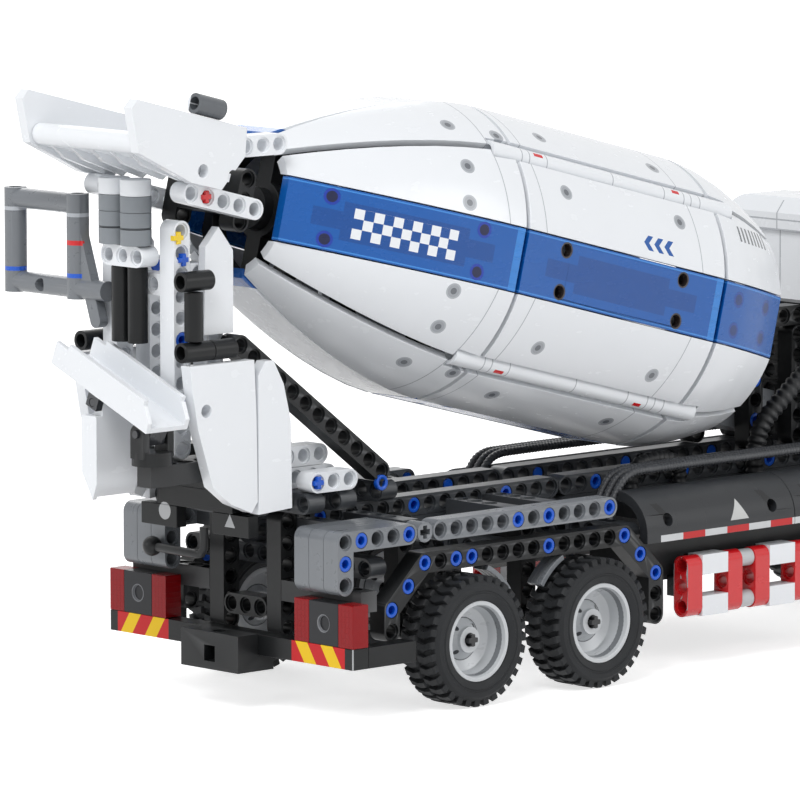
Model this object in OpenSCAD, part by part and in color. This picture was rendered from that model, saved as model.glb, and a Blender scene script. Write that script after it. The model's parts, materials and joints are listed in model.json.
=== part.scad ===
// Toy cement mixer truck built from studless construction beams.
// X runs forward, Y to the left, Z up. The drum axis leans down towards the cab.

/* [Building system] */
// Distance between neighbouring holes
pitch = 8; // [8:0.1:8.2]
// Thickness and height of every beam
beam_w = 7.8; // [7.4:0.1:7.9]
// Diameter of a pin or axle hole
hole_d = 4.9; // [4.8:0.05:5]
// Diameter of the shallow recess around a hole
recess_d = 6.2; // [5.8:0.1:6.6]
// Diameter of pins and axles
pin_d = 4.76; // [4.7:0.02:4.78]

/* [Chassis] */
// Half width of the bodywork
half_w = 60; // [52:1:72]
// Height of the side beams above the tops of the tyres
side_rise = 17.4; // [17:0.2:26]
// Position of the first rear axle behind the cab
axle_1_x = 60; // [60:1:64]
// Distance between the two rear axles
axle_gap = 64; // [60:1:76]
// Position of the steered front axle
front_axle_x = 372; // [365:1:440]

/* [Wheels] */
// Outside diameter of a tyre
tyre_d = 49.6; // [42:0.2:59]
// Width of a tyre
tyre_w = 20; // [16:1:21]
// Diameter of a wheel rim
rim_d = 30.4; // [26:0.2:34]

/* [Drum] */
// Radius of the drum over its middle section
drum_r = 58; // [48:1:69]
// Radius of the open rear end
mouth_r = 29; // [26:1:34]
// Radius of the front end
front_r = 47; // [40:1:47]
// Length of the middle section
drum_mid_l = 108; // [90:1:116]
// Lean of the drum axis
drum_tilt = 14.4; // [12:0.2:15]
// Wall thickness of the drum panels
panel_t = 3.6; // [3:0.1:4.4]
// Width of the four flat panels around the drum
flat_w = 24; // [20:1:28]

/* [Tower] */
// Height of the hopper above the drum mouth centre
hopper_rise = 24; // [22:1:29]

/* [Cab] */
// Length of the cab
cab_l = 112; // [100:1:134]
// Height of the cab body
cab_h = 79; // [76:1:110]

/* [Hidden] */
$fn = 48;

half_b = beam_w / 2;
gap = pitch - beam_w;
recess_h = 0.8;

// heights
axle_z = tyre_d / 2;
side_z = tyre_d + side_rise;
fender_z = side_z - 1.5 * pitch + 0.5;
rail_z = side_z + 0.375 * pitch;
rail_low_z = rail_z - pitch;
under_z = rail_low_z - pitch;
deck_z = rail_z + pitch;
deck_top = rail_z + half_b;
bumper_z = axle_z - 0.2;

// rows across the truck
side_y = half_w - half_b;
rail_y = 2 * pitch;
brace_y = 3 * pitch;

// stations along the truck
axle_2_x = axle_1_x + axle_gap;
fender_first_x = axle_1_x - 2.5 * pitch;
fender_last_x = axle_2_x + 2.5 * pitch;
side_first_x = 6 * pitch;
side_last_x = fender_last_x - pitch;
tank_x0 = fender_last_x + 1.5 * pitch + gap;
cab_x0 = front_axle_x - 52;
cab_x1 = cab_x0 + cab_l;
tank_panel_l = (cab_x0 - 2 - tank_x0) / 2;
tank_skirt_z = fender_z - 4.7;
rail_x0 = 2 * pitch;

// drum frame: s runs down the axis from the point above axle_1
drum_s0 = -128;
mid_s0 = -31;
mid_s1 = mid_s0 + drum_mid_l;
front_s1 = mid_s1 + 5.5 * pitch;
drum_x = 123.4;
drum_low = 6.9;
front_low = 6.4;
drum_z = deck_top + max(drum_low + mid_s1 * sin(drum_tilt) + drum_r * cos(drum_tilt),
    front_low + front_s1 * sin(drum_tilt) + front_r * cos(drum_tilt));
mouth_x = drum_x + drum_s0 * cos(drum_tilt);
mouth_z = drum_z - drum_s0 * sin(drum_tilt);
rod_d = 8;
rod_gap = 9.4;
rod_over = 12;

// drive gears
bearing_s = front_s1 + 18;
pedestal_x = drum_x + bearing_s * cos(drum_tilt) - 2;
tooth_m = 1.25;
drum_teeth = 32;
pinion_teeth = 16;
gear_s = front_s1 + 5;
gear_w = 6;
gear_play = 0.35;
gear_reach = tooth_m * (drum_teeth + pinion_teeth) / 2 + 0.15;

// tower
tower_z0 = deck_z + 3 * pitch;
column_rear_x = -5.5 * pitch;
column_front_x = -3.5 * pitch;
rear_pipe_x = column_rear_x - pitch;
rear_block_z = tower_z0 + 8.8 * pitch;
hopper_z = mouth_z + hopper_rise;
hopper_y = 28;
wing_rear_x = -79;
chute_x = -62.5;
chute_y = -brace_y;
hinge_z = deck_z + 4 * pitch;
chute_lean = 22;
trough_w = 20;
trough_l = 57;
trough_h = 9;
chute_floor = 4;
fold_y = 24;
fold_drop = 3;
chute_pin_d = 3;
wall = 2;

// steering
kingpin_y = 40;
kingpin_d = 4.76;
arm_l = 20;

bumper_front_x = cab_x1 + 5;
x_mid = (wing_rear_x + bumper_front_x) / 2;

module place() {
    translate([-x_mid, 0, 0]) children();
}

module both_sides() {
    children();
    mirror([0, 1, 0]) children();
}

module on_drum_axis(s = 0) {
    translate([drum_x, 0, drum_z]) rotate([0, 90 + drum_tilt, 0]) translate([0, 0, s]) children();
}

// outline of a bar between two points, with round ends
module bar_plan(from, to, w = beam_w) {
    run = to - from;
    translate(from) circle(d = w);
    translate(to) circle(d = w);
    translate(from) rotate(atan2(run[1], run[0])) translate([0, -w / 2]) square([norm(run), w]);
}

module bore(recessed = true) {
    cylinder(d = hole_d, h = beam_w + 2, center = true);
    if (recessed) {
        for (end = [0, 1]) mirror([0, 0, end])
            translate([0, 0, half_b - recess_h]) cylinder(d = recess_d, h = 2);
    }
}

// beam along X with its holes across Y; the first hole is at the origin
module beam(n, recessed = true) {
    rotate([90, 0, 0]) difference() {
        linear_extrude(beam_w, center = true) bar_plan([0, 0], [(n - 1) * pitch, 0]);
        for (i = [0 : n - 1]) translate([i * pitch, 0, 0]) bore(recessed);
    }
}

// the same beam standing up, along Z
module column(n, recessed = true) {
    rotate([0, -90, 0]) beam(n, recessed);
}

// beam along Y with its holes across X, centred on the middle plane
module cross_beam(n, recessed = true) {
    translate([0, -(n - 1) * pitch / 2, 0]) rotate([0, 0, 90]) beam(n, recessed);
}

// flat-ended beam along Y with its holes up, between two stations
module outrigger(y0, y1) {
    n = floor((y1 - y0) / pitch);
    difference() {
        translate([-half_b, y0, -half_b]) cube([beam_w, y1 - y0, beam_w]);
        for (i = [0 : n - 1]) translate([0, y0 + half_b + i * pitch, 0]) bore();
    }
}

// blue friction pin seen from its outer end, pointing along -Y
module pin() {
    rotate([90, 0, 0]) difference() {
        union() {
            translate([0, 0, -half_b + 0.2]) cylinder(d = pin_d, h = beam_w - 0.6);
            translate([0, 0, half_b - recess_h + 0.1]) cylinder(d = recess_d - 0.4, h = recess_h - 0.2);
        }
        translate([0, 0, half_b - 4]) cylinder(d = 3.2, h = 5);
    }
}

// axle with a cross section like a plus sign, along Z
module cross_axle(l) {
    linear_extrude(l) intersection() {
        circle(d = pin_d);
        union() {
            square([pin_d, 1.9], center = true);
            square([1.9, pin_d], center = true);
        }
    }
}

// round tube with a bored end at each end, along Z
module tube(l, d = 7.4) {
    difference() {
        cylinder(d = d, h = l);
        translate([0, 0, -1]) cylinder(d = hole_d, h = 5);
        translate([0, 0, l - 4]) cylinder(d = hole_d, h = 5);
    }
}

// ---- chassis ----

module main_rails() {
    rail_holes = floor((cab_x1 - 6 - rail_x0) / pitch);
    split = floor(rail_holes / 3);
    place() color("dimgray") both_sides()
        for (part = [0 : 2]) translate([rail_x0 + part * split * pitch, rail_y, 0]) {
            translate([0, 0, rail_z]) beam(split);
            translate([0, 0, rail_low_z]) beam(split, false);
        }
}

module cross_beams() {
    under_n = 2 * floor((half_w - 12) / pitch) + 1;
    place() color("dimgray") {
        for (x = [rail_x0 + pitch, (axle_1_x + axle_2_x) / 2, tank_x0, tank_x0 + tank_panel_l])
            translate([x, 0, under_z]) cross_beam(under_n);
        for (x = [5 * pitch, 11.5 * pitch, 14 * pitch]) both_sides()
            translate([x, 0, side_z]) outrigger(rail_y + half_b + gap, side_y - half_b - gap);
        both_sides() translate([rail_x0, 0, side_z])
            outrigger(rail_y + half_b + gap, side_y - 2 * pitch - half_b - gap);
        for (x = [pitch, 3 * pitch]) translate([x, 0, deck_z]) cross_beam(9);
        for (x = [-1.5 * pitch, 6.5 * pitch]) translate([x, 0, deck_z]) cross_beam(7);
    }
}

module side_beams() {
    n = floor((side_last_x - side_first_x) / pitch) + 1;
    place() color("gray") both_sides() {
        translate([side_first_x, side_y, side_z]) beam(n);
        translate([5 * pitch, side_y, side_z]) rotate([90, 0, 0]) difference() {
            linear_extrude(beam_w, center = true) circle(d = beam_w - gap);
            cube([pin_d + 0.2, 2.1, beam_w + 2], center = true);
            cube([2.1, pin_d + 0.2, beam_w + 2], center = true);
        }
    }
}

module rear_corner_beams() {
    place() color("gray") both_sides() for (row = [0 : 2])
        translate([0, side_y - row * pitch, side_z]) rotate([90, 0, 0]) difference() {
            linear_extrude(beam_w, center = true) {
                bar_plan([0, 0], [4 * pitch, 0]);
                bar_plan([0, 0], [0, -2 * pitch]);
            }
            for (i = [0 : 4]) translate([i * pitch, 0, 0]) bore();
            for (i = [1, 2]) translate([0, -i * pitch, 0]) bore();
        }
}

module fender_beams() {
    n = floor((fender_last_x - fender_first_x) / pitch + 0.01);
    leg_dx = 2.1 * pitch;
    leg_dz = 2 * pitch;
    rear_low = [fender_first_x - leg_dx, -leg_dz];
    front_low = [fender_last_x + leg_dx, -leg_dz];
    slope_w = beam_w - 0.04;
    place() color("#26282b") both_sides() translate([0, side_y, fender_z]) rotate([90, 0, 0])
        difference() {
            linear_extrude(beam_w, center = true) {
                bar_plan([fender_first_x, 0], [fender_last_x, 0]);
                bar_plan([fender_first_x, 0], rear_low, slope_w);
                bar_plan(rear_low, rear_low - [0, pitch]);
                bar_plan([fender_last_x, 0], front_low, slope_w);
                bar_plan(front_low, front_low - [0, 2 * pitch]);
            }
            for (i = [0 : n]) translate([fender_first_x + i * pitch, 0, 0]) bore();
            for (low = [rear_low, front_low]) for (i = [0, 1])
                translate([low[0], low[1] - i * pitch, 0]) bore();
            translate([front_low[0], front_low[1] - 2 * pitch, 0]) bore();
            translate([(fender_first_x + rear_low[0]) / 2, rear_low[1] / 2, 0]) bore();
            translate([(fender_last_x + front_low[0]) / 2, front_low[1] / 2, 0]) bore();
        }
}

module mudguard_strips() {
    top_a = 64.6;
    outer_r = (fender_z - half_b - axle_z - 0.25) / sin(top_a);
    inner_r = outer_r - 2;
    place() color("gray") both_sides() for (end = [0, 1])
        translate([end ? axle_2_x : axle_1_x, side_y, axle_z]) mirror([end, 0, 0])
            rotate([90, 0, 0]) for (band = [-1 : 1]) translate([0, 0, band * 2.6])
                rotate([0, 0, 34]) rotate_extrude(angle = top_a - 34)
                    translate([inner_r, -1.2]) square([outer_r - inner_r, 2.4]);
}

module axle_carriers() {
    n = floor((rail_low_z - axle_z) / pitch) + 1;
    place() color("#26282b") both_sides() for (x = [axle_1_x, axle_2_x])
        translate([x, brace_y, axle_z]) column(n + 1);
}

module rear_frame() {
    post_n = floor((rail_z - bumper_z) / pitch) + 1;
    place() color("#26282b") {
        both_sides() translate([pitch, rail_y, rail_z - (post_n - 1) * pitch]) column(post_n);
        translate([pitch, 0, axle_z + pitch * 1.5]) cross_beam(3);
        both_sides() translate([pitch, 0, bumper_z + pitch * 2.5])
            outrigger(rail_y + half_b + gap, half_w + half_b);
    }
}

module bumper() {
    side_l = 24;
    place() color("#26282b") {
        translate([-half_b, -half_w - pitch, bumper_z - half_b]) {
            cube([beam_w, 2 * (half_w + pitch), beam_w]);
            for (y = [0, 2 * half_w + 2 * pitch - beam_w])
                translate([beam_w + 0.1, y, 0]) cube([side_l, beam_w, beam_w]);
        }
    }
}

module tail_lamps() {
    lamp_h = 2 * pitch;
    place() both_sides() translate([-half_b, half_w - 3 * pitch, bumper_z + half_b + 0.1]) {
        color("#303236") translate([0, pitch + 0.1, 0]) difference() {
            cube([beam_w, 2 * pitch - 0.2, lamp_h]);
            translate([-1, pitch, pitch]) rotate([0, 90, 0]) cylinder(d = 6, h = 2);
        }
        color("#a01018") for (y = [0, 3 * pitch]) translate([0, y, 0]) cube([beam_w, pitch, lamp_h]);
    }
}

module tow_hitch() {
    hitch_l = 10;
    place() color("#26282b") translate([-half_b - hitch_l, 0, 0]) difference() {
        union() {
            translate([0, -2 * pitch, bumper_z - 10]) cube([hitch_l - 0.1, 4 * pitch, 14]);
            translate([hitch_l - 0.1, -2 * pitch, bumper_z - 10]) cube([beam_w, 4 * pitch, 6]);
        }
        translate([hitch_l / 2, 0, 0]) cylinder(d = hole_d, h = 60);
        translate([-1, -3, bumper_z - 7]) cube([hitch_l, 6, 6]);
    }
}

module rear_plates() {
    plate_x = -1.5 * pitch - half_b - gap;
    place() color("#2b2d31") {
        translate([plate_x - 5.4, -brace_y - half_b, deck_z + 5.6])
            cube([5.4, 2 * brace_y + beam_w, 6.2]);
        translate([plate_x - 4.9, -21, deck_z - 2.4]) cube([4.9, 42, 7.9]);
        both_sides() translate([plate_x - 4.9, 10, deck_z - 10.6]) cube([4.9, 20, 8.1]);
    }
}

// ---- side tanks and guards ----

module tank_profile(l) {
    shell_r = 2 * pitch;
    rotate([90, 0, 90]) linear_extrude(l) difference() {
        union() {
            translate([half_w - shell_r, deck_top - 4 - shell_r]) circle(r = shell_r, $fn = 72);
            translate([half_w - 2 * wall, tank_skirt_z]) square([2 * wall, deck_top - 20 - tank_skirt_z]);
        }
        translate([half_w - shell_r, deck_top - 4 - shell_r]) circle(r = shell_r - 2 * wall, $fn = 72);
        translate([half_w - 3 * shell_r, 0]) square([2 * shell_r, 200]);
        translate([half_w - 2 * shell_r, 0]) square([2 * shell_r - 2 * wall, deck_top - 4 - shell_r]);
        translate([half_w - 2 * wall, 0]) square([2 * wall + 1, tank_skirt_z]);
    }
}

module tank_panels() {
    hole_z = deck_top - 4 - 1.35 * pitch;
    place() color("#33363b") both_sides() for (i = [0, 1])
        translate([tank_x0 + i * tank_panel_l, 0, 0]) difference() {
            tank_profile(tank_panel_l - 0.3);
            for (x = [1.5 * pitch, tank_panel_l - 1.5 * pitch]) translate([x, half_w + 3, hole_z])
                rotate([90, 0, 0]) cylinder(d = hole_d, h = 12);
        }
}

module side_tanks() {
    inner_y = rail_y + half_b + gap;
    tank_z0 = axle_z + 9;
    outer_y = half_w - beam_w - 3.8;
    panel_y = half_w - 2 * pitch + 2;
    place() color("#26282b") both_sides() {
        difference() {
            translate([tank_x0 + pitch, inner_y, tank_z0])
                cube([2 * tank_panel_l - 2 * pitch, outer_y - inner_y, under_z - half_b - tank_z0 - gap]);
            translate([tank_x0 + 4 * pitch, outer_y + 1, tank_z0 + 6]) rotate([90, 0, 0])
                cylinder(d = 6, h = 3);
        }
        for (i = [0, 1]) for (x = [1.5 * pitch, tank_panel_l - 2 * pitch])
            translate([tank_x0 + i * tank_panel_l + x, inner_y, rail_low_z - half_b - 0.6])
                cube([beam_w, panel_y - inner_y, beam_w]);
    }
}

module side_guards() {
    guard_z = axle_z - 1;
    guard_x = tank_x0 + 2.75 * pitch;
    long_bay = 22;
    short_bay = 15;
    pair = long_bay + short_bay;
    pairs = floor((cab_x0 - 8 - guard_x) / pair);
    bar_y = half_w - beam_w;
    place() both_sides() {
        color("#c4161c") for (i = [0 : pairs - 1]) for (x = [0, long_bay])
            translate([guard_x + i * pair + x + half_b, bar_y + half_b, guard_z]) rotate([0, 0, 90])
                column(3);
        color("white") for (i = [0 : pairs - 1]) for (z = [0, 2])
            translate([guard_x + i * pair + beam_w + 0.1, bar_y, guard_z - half_b + z * pitch])
                cube([long_bay - beam_w - 0.2, beam_w, beam_w]);
        color("silver") for (i = [0 : pairs - 2]) for (z = [0, 2])
            translate([guard_x + i * pair + long_bay + beam_w + 0.1, bar_y + half_b, guard_z + z * pitch])
                rotate([0, 90, 0]) cylinder(d = beam_w - 1, h = short_bay - beam_w - 0.2);
        color("#26282b") for (i = [0, pairs - 1])
            translate([guard_x + i * pair, bar_y - 3.7, guard_z + half_b]) cube([beam_w, 3.6, beam_w]);
    }
}

// ribbed flexible tube swept along points, as one closed mesh
function lerp(a, b, t) = a + (b - a) * t;
function smooth_point(p, t) =
    let (n = len(p) - 1, i = min(floor(t * n), n - 1), f = t * n - i,
        a = p[max(i - 1, 0)], b = p[i], c = p[i + 1], d = p[min(i + 2, n)])
    0.5 * (2 * b + (c - a) * f + (2 * a - 5 * b + 4 * c - d) * f * f
        + (3 * b - a - 3 * c + d) * f * f * f);
function unit(v) = v / norm(v);

module hose(points, d, rings = 20, sides = 10) {
    path = [for (i = [0 : rings]) smooth_point(points, i / rings)];
    tangents = [for (i = [0 : rings]) unit(path[min(i + 1, rings)] - path[max(i - 1, 0)])];
    verts = [for (i = [0 : rings]) let (t = tangents[i], u = unit(cross(t, [0.1, 1, 0.05])),
            v = cross(t, u))
        for (k = [0 : sides - 1]) path[i] + d / 2 * (cos(k * 360 / sides) * u + sin(k * 360 / sides) * v)];
    walls = [for (i = [0 : rings - 1]) for (k = [0 : sides - 1]) let (m = (k + 1) % sides)
        each [[i * sides + k, (i + 1) * sides + k, i * sides + m],
            [i * sides + m, (i + 1) * sides + k, (i + 1) * sides + m]]];
    caps = [[for (k = [0 : sides - 1]) k],
        [for (k = [0 : sides - 1]) rings * sides + sides - 1 - k]];
    polyhedron(verts, concat(walls, caps));
}

module tank_hoses() {
    hose_d = 3.4;
    x0 = tank_x0 - 1;
    x1 = cab_x0 - 0.3;
    z0 = under_z + half_b + 0.3;
    z1 = deck_top + 2.2;
    place() color("#4a4d52") both_sides() for (i = [0 : 2]) {
        y = half_w - 2 * pitch - 2.8 - i * 3.8;
        hose([[x0, y, z0], [x0 + 0.4, y, z0 + 5], [x0 + 3, y, z1 - 7], [x0 + 10, y, z1 - 1],
            [x0 + 26, y, z1], [(x0 + x1) / 2, y, z1], [x1, y, z1]], hose_d, 24, 8);
    }
}

// ---- drum ----

// outer radius of the rear and front cones at a share t of their length
function cone_r(t, end_r) = drum_r - (drum_r - end_r) * pow(t, 1.6);
function rear_line(inset) = [for (i = [8 : -1 : 0])
    [cone_r(i / 8, mouth_r) - inset, lerp(mid_s0 - 1, drum_s0, i / 8)]];
function front_line(inset) = [for (i = [0 : 4])
    [cone_r(i / 4, front_r) - inset, lerp(mid_s1 + 2, front_s1, i / 4)]];
function reversed(v) = [for (i = [len(v) - 1 : -1 : 0]) v[i]];
function wall_of(outer, inner) = concat(outer, reversed(inner));

mid_line = [[drum_r, mid_s0 + 1], [drum_r, mid_s1]];
inner_mid = [for (p = mid_line) p - [panel_t, 0]];

// two petals per quarter, between the flat panels and the rod gap
module petals(section, seam) {
    clear = flat_w / 2 + 0.5;
    for (quarter = [0 : 3]) rotate(90 * quarter) intersection() {
        rotate_extrude($fn = 96) polygon(section);
        difference() {
            translate([clear, clear, -200]) cube([100, 100, 500]);
            rotate(45) translate([0, -seam / 2, -200]) cube([200, seam, 500]);
            rotate(45) translate([0, -rod_gap / 2, mid_s0 - rod_over])
                cube([200, rod_gap, drum_mid_l + 2 * rod_over]);
        }
    }
}

// flat panel facing along +Y of the drum frame
module flat_panel(section) {
    rotate([90, 0, 90]) translate([0, 0, -flat_w / 2]) linear_extrude(flat_w) polygon(section);
}

module drum_rear_panels() {
    place() color("white") on_drum_axis() petals(wall_of(rear_line(0), rear_line(panel_t)), 3);
}

module drum_mid_panels() {
    place() color("white") on_drum_axis() petals(wall_of(mid_line, inner_mid), rod_gap);
}

module drum_front_panels() {
    place() color("white") on_drum_axis() petals(wall_of(front_line(0), front_line(panel_t)), 3);
}

module drum_flat_panels() {
    sink = 1.6;
    rear = wall_of(rear_line(sink), rear_line(sink + panel_t));
    mid = [for (p = wall_of(mid_line, inner_mid)) p - [sink, 0]];
    front = wall_of(front_line(sink), front_line(sink + panel_t));
    place() on_drum_axis() for (turn = [0 : 3]) rotate(90 * turn) {
        side = turn % 2 == 0;
        color(side ? "#1560bd" : "white") {
            flat_panel(rear);
            flat_panel(front);
        }
        color("#1560bd") difference() {
            flat_panel(mid);
            for (s = [mid_s0 + 22, mid_s1 - 22]) for (x = [-pitch, pitch])
                translate([x, drum_r + 5, s]) rotate([90, 0, 0]) cylinder(d = hole_d, h = 20);
        }
    }
}

// spider: hub, four arms and the ring under the panels at station s
module spider(s, r, w = 7) {
    inner = r - 6;
    flat_r = r - 1.7;
    translate([0, 0, s - w / 2]) {
        difference() {
            intersection() {
                cylinder(r = r, h = w, $fn = 96);
                translate([-flat_r, -flat_r, -1]) cube([2 * flat_r, 2 * flat_r, w + 2]);
            }
            translate([0, 0, -1]) cylinder(r = inner, h = w + 2, $fn = 96);
            for (a = [45 : 90 : 315]) rotate(a) translate([drum_r - 3.2, 0, -1])
                cylinder(d = rod_d + 0.6, h = w + 2);
        }
        difference() {
            union() {
                cylinder(r = pitch + 3, h = w);
                for (a = [0 : 90 : 270]) rotate(a) translate([6, -half_b, 0]) cube([inner - 4, beam_w, w]);
            }
            translate([0, 0, -1]) cylinder(r = pitch + 0.05, h = w + 2);
        }
    }
}

module drum_core() {
    hub_d = 2 * pitch;
    place() color("#1b1c1e") on_drum_axis() {
        difference() {
            translate([0, 0, drum_s0 + 8]) cylinder(d = hub_d, h = front_s1 - drum_s0 - 8);
            translate([0, 0, drum_s0]) cylinder(d = hole_d, h = front_s1 - drum_s0 + 1);
        }
        spider(drum_s0 + 16, cone_r(0.83, mouth_r) - panel_t - 2.1);
        spider(mid_s0 + 8, drum_r - panel_t - 0.2);
        spider(mid_s1 - 8, drum_r - panel_t - 0.2);
        spider(front_s1 - 7, cone_r(0.93, front_r) - panel_t - 0.9);
        translate([0, 0, drum_s0 - 18]) cylinder(d = pin_d, h = gear_s - drum_s0 + 42);
    }
}

module drum_rods() {
    over = rod_over - 0.4;
    place() color("white") on_drum_axis() for (a = [45 : 90 : 315]) rotate(a)
        translate([drum_r - 3.2, 0, mid_s0 - over]) tube(drum_mid_l + 2 * over, rod_d);
}

// involute tooth flank as [radius, angle]
function flank(base_r, r) = let (t = sqrt(max(r * r / (base_r * base_r) - 1, 0)))
    t * 180 / PI - atan(t);

module gear_plan(teeth) {
    pitch_r = tooth_m * teeth / 2;
    base_r = pitch_r * cos(20);
    root_r = pitch_r - 1.25 * tooth_m;
    tip_r = pitch_r + tooth_m * 0.9;
    half = 90 / teeth - gear_play / 2 / pitch_r * 180 / PI + flank(base_r, pitch_r);
    radii = [for (i = [0 : 3]) lerp(max(base_r, root_r), tip_r, i / 3)];
    tooth = concat([[root_r, -half]], [for (r = radii) [r, flank(base_r, r) - half]],
        [for (r = reversed(radii)) [r, half - flank(base_r, r)]], [[root_r, half]]);
    polygon([for (i = [0 : teeth - 1]) each [for (p = tooth)
        p[0] * [cos(i * 360 / teeth + p[1]), sin(i * 360 / teeth + p[1])]]]);
}

module drum_gear() {
    place() color("#6b7075") on_drum_axis(gear_s - gear_w / 2) difference() {
        union() {
            linear_extrude(gear_w) gear_plan(drum_teeth);
            translate([0, 0, -gear_s + gear_w / 2 + front_s1 + 0.1]) cylinder(d = 2 * pitch, h = 2);
        }
        translate([0, 0, -9]) cylinder(d = hole_d, h = gear_w + 20);
        for (a = [45 : 90 : 315]) rotate(a) translate([12.5, 0, -1]) cylinder(d = 6, h = gear_w + 2);
    }
}

module motor_pinion() {
    place() color("#6b7075") on_drum_axis(gear_s - gear_w / 2) translate([gear_reach, 0, 0]) {
        rotate(180 + 180 / pinion_teeth) linear_extrude(gear_w) gear_plan(pinion_teeth);
        translate([0, 0, gear_w]) cylinder(d = pin_d, h = 2 * pitch);
    }
}

module front_pedestal() {
    bearing_z = drum_z - bearing_s * sin(drum_tilt);
    legs_n = floor((bearing_z + 4 - deck_top) / pitch);
    foot_z = deck_top + half_b + gap;
    place() color("#1f2023") {
        on_drum_axis(bearing_s - 4) difference() {
            translate([-pitch - 3, -rail_y + half_b + gap, 0])
                cube([2 * pitch + 3, 2 * (rail_y - half_b - gap), pitch]);
            translate([0, 0, -1]) cylinder(d = hole_d, h = pitch + 2);
        }
        both_sides() {
            for (x = [0, 3 * pitch]) translate([pedestal_x + x, rail_y, foot_z]) column(legs_n);
            translate([pedestal_x, rail_y, foot_z + legs_n * pitch]) beam(4);
        }
        for (i = [0 : legs_n]) translate([pedestal_x + 4 * pitch, 0, foot_z + i * pitch])
            cross_beam(7);
    }
}

module drum_motor() {
    start_s = gear_s + gear_w / 2 + 3;
    place() color("#8c9095") on_drum_axis(start_s) translate([gear_reach, 0, 0]) difference() {
        translate([-9, -11.5, 0]) cube([18, 23, 30]);
        translate([0, 0, -1]) cylinder(d = hole_d, h = 16);
    }
}

module pedestal_hoses() {
    hose_y = -rail_y - half_b - 0.3 - pitch / 2;
    x0 = drum_x + (gear_s + 6) * cos(drum_tilt);
    low_z = deck_top - pitch;
    loop_y = hose_y + 0.8;
    side_y0 = -brace_y - half_b - 0.4 - pitch / 2;
    place() color("#1b1c1e") {
        hose([[x0, hose_y, low_z], [x0 + 0.5, hose_y, low_z + 10], [x0 + 4, hose_y - 1, low_z + 20],
            [x0 + 14, hose_y - 5, low_z + 32], [x0 + 27, side_y0, low_z + 44],
            [x0 + 40, side_y0, low_z + 53], [x0 + 54, side_y0, low_z + 60],
            [cab_x0 - 8, side_y0, low_z + 63], [cab_x0 - 0.5, side_y0, low_z + 63.5]], pitch, 26, 12);
        hose([[drum_x + 60, loop_y, low_z], [drum_x + 61, loop_y, low_z + 6],
            [drum_x + 67, loop_y, low_z + 10], [drum_x + 80, loop_y, low_z + 10],
            [drum_x + 86, loop_y, low_z + 6], [drum_x + 87, loop_y, low_z]], 6.4, 18, 12);
    }
}

// ---- tower, hopper and ladder ----

module tower_base() {
    level_1 = deck_z + pitch;
    level_2 = deck_z + 2 * pitch;
    place() color("#26282b") both_sides() {
        translate([-1.5 * pitch, rail_y, level_1]) beam(6);
        translate([-6 * pitch, rail_y, level_2]) beam(10);
        translate([4.5, 4 * pitch, level_1]) translate([half_b, 0, 0]) beam(3);
    }
}

module tower_frames() {
    top_z = mouth_z - 2;
    rear_n = floor((top_z - tower_z0) / pitch) + 1;
    front_n = rear_n - 2;
    place() color("white") {
        both_sides() {
            translate([column_rear_x, rail_y, tower_z0]) column(rear_n);
            translate([column_front_x, rail_y, tower_z0]) column(front_n);
            translate([column_rear_x + pitch, rail_y, tower_z0 + (front_n - 1) * pitch]) rotate([90, 0, 0])
                difference() {
                    translate([-half_b, -half_b, -half_b]) cube([beam_w, beam_w, beam_w]);
                    bore();
                }
        }
        for (z = [tower_z0 + 2.5 * pitch, tower_z0 + 7.5 * pitch])
            translate([column_rear_x, 0, z]) cross_beam_short();
        translate([rear_pipe_x, 0, rear_block_z]) cross_beam(3);
    }
}

// short beam between the two tower frames
module cross_beam_short() {
    l = 2 * (rail_y - half_b) - gap;
    difference() {
        translate([-half_b, -l / 2, -half_b]) cube([beam_w, l, beam_w]);
        for (y = [-pitch, 0, pitch]) translate([0, y, 0]) rotate([0, 90, 0]) bore();
    }
}

// outline of a tower panel in the X and Z plane
module side_plate(points, y, t) {
    translate([0, y + t, 0]) rotate([90, 0, 0]) linear_extrude(t) polygon(points);
}

module tower_fairings() {
    base_z = deck_top + 3.5;
    mid_z = tower_z0 + 4 * pitch;
    plate_y = brace_y + half_b + gap;
    t = 5;
    narrow_top = mouth_z - 5;
    place() color("white") both_sides() {
        difference() {
            side_plate([[-52, mid_z], [-20.5, mid_z], [-19.5, mid_z - 20], [-19, base_z + 4], [-22, base_z],
                [-32, base_z + 4], [-41, base_z + 11], [-48, mid_z - 24], [-51, mid_z - 8]], plate_y, t);
            translate([-44, plate_y - 1, mid_z - 17]) rotate([-90, 0, 0]) cylinder(d = hole_d, h = t + 2);
        }
        side_plate([[-18.5, mid_z - 6], [-15, mid_z - 1], [-11, mid_z - 1], [-6, mid_z - 10],
            [-2.5, mid_z - 24], [-2, base_z], [-18.5, base_z - 1]], plate_y, t);
        side_plate([[-37, mid_z + 9.5], [-22.5, mid_z + 9.5], [-22.5, narrow_top - 9], [-29.5, narrow_top],
            [-36, narrow_top - 7]], rail_y + half_b + gap, 3.8);
    }
}

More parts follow.
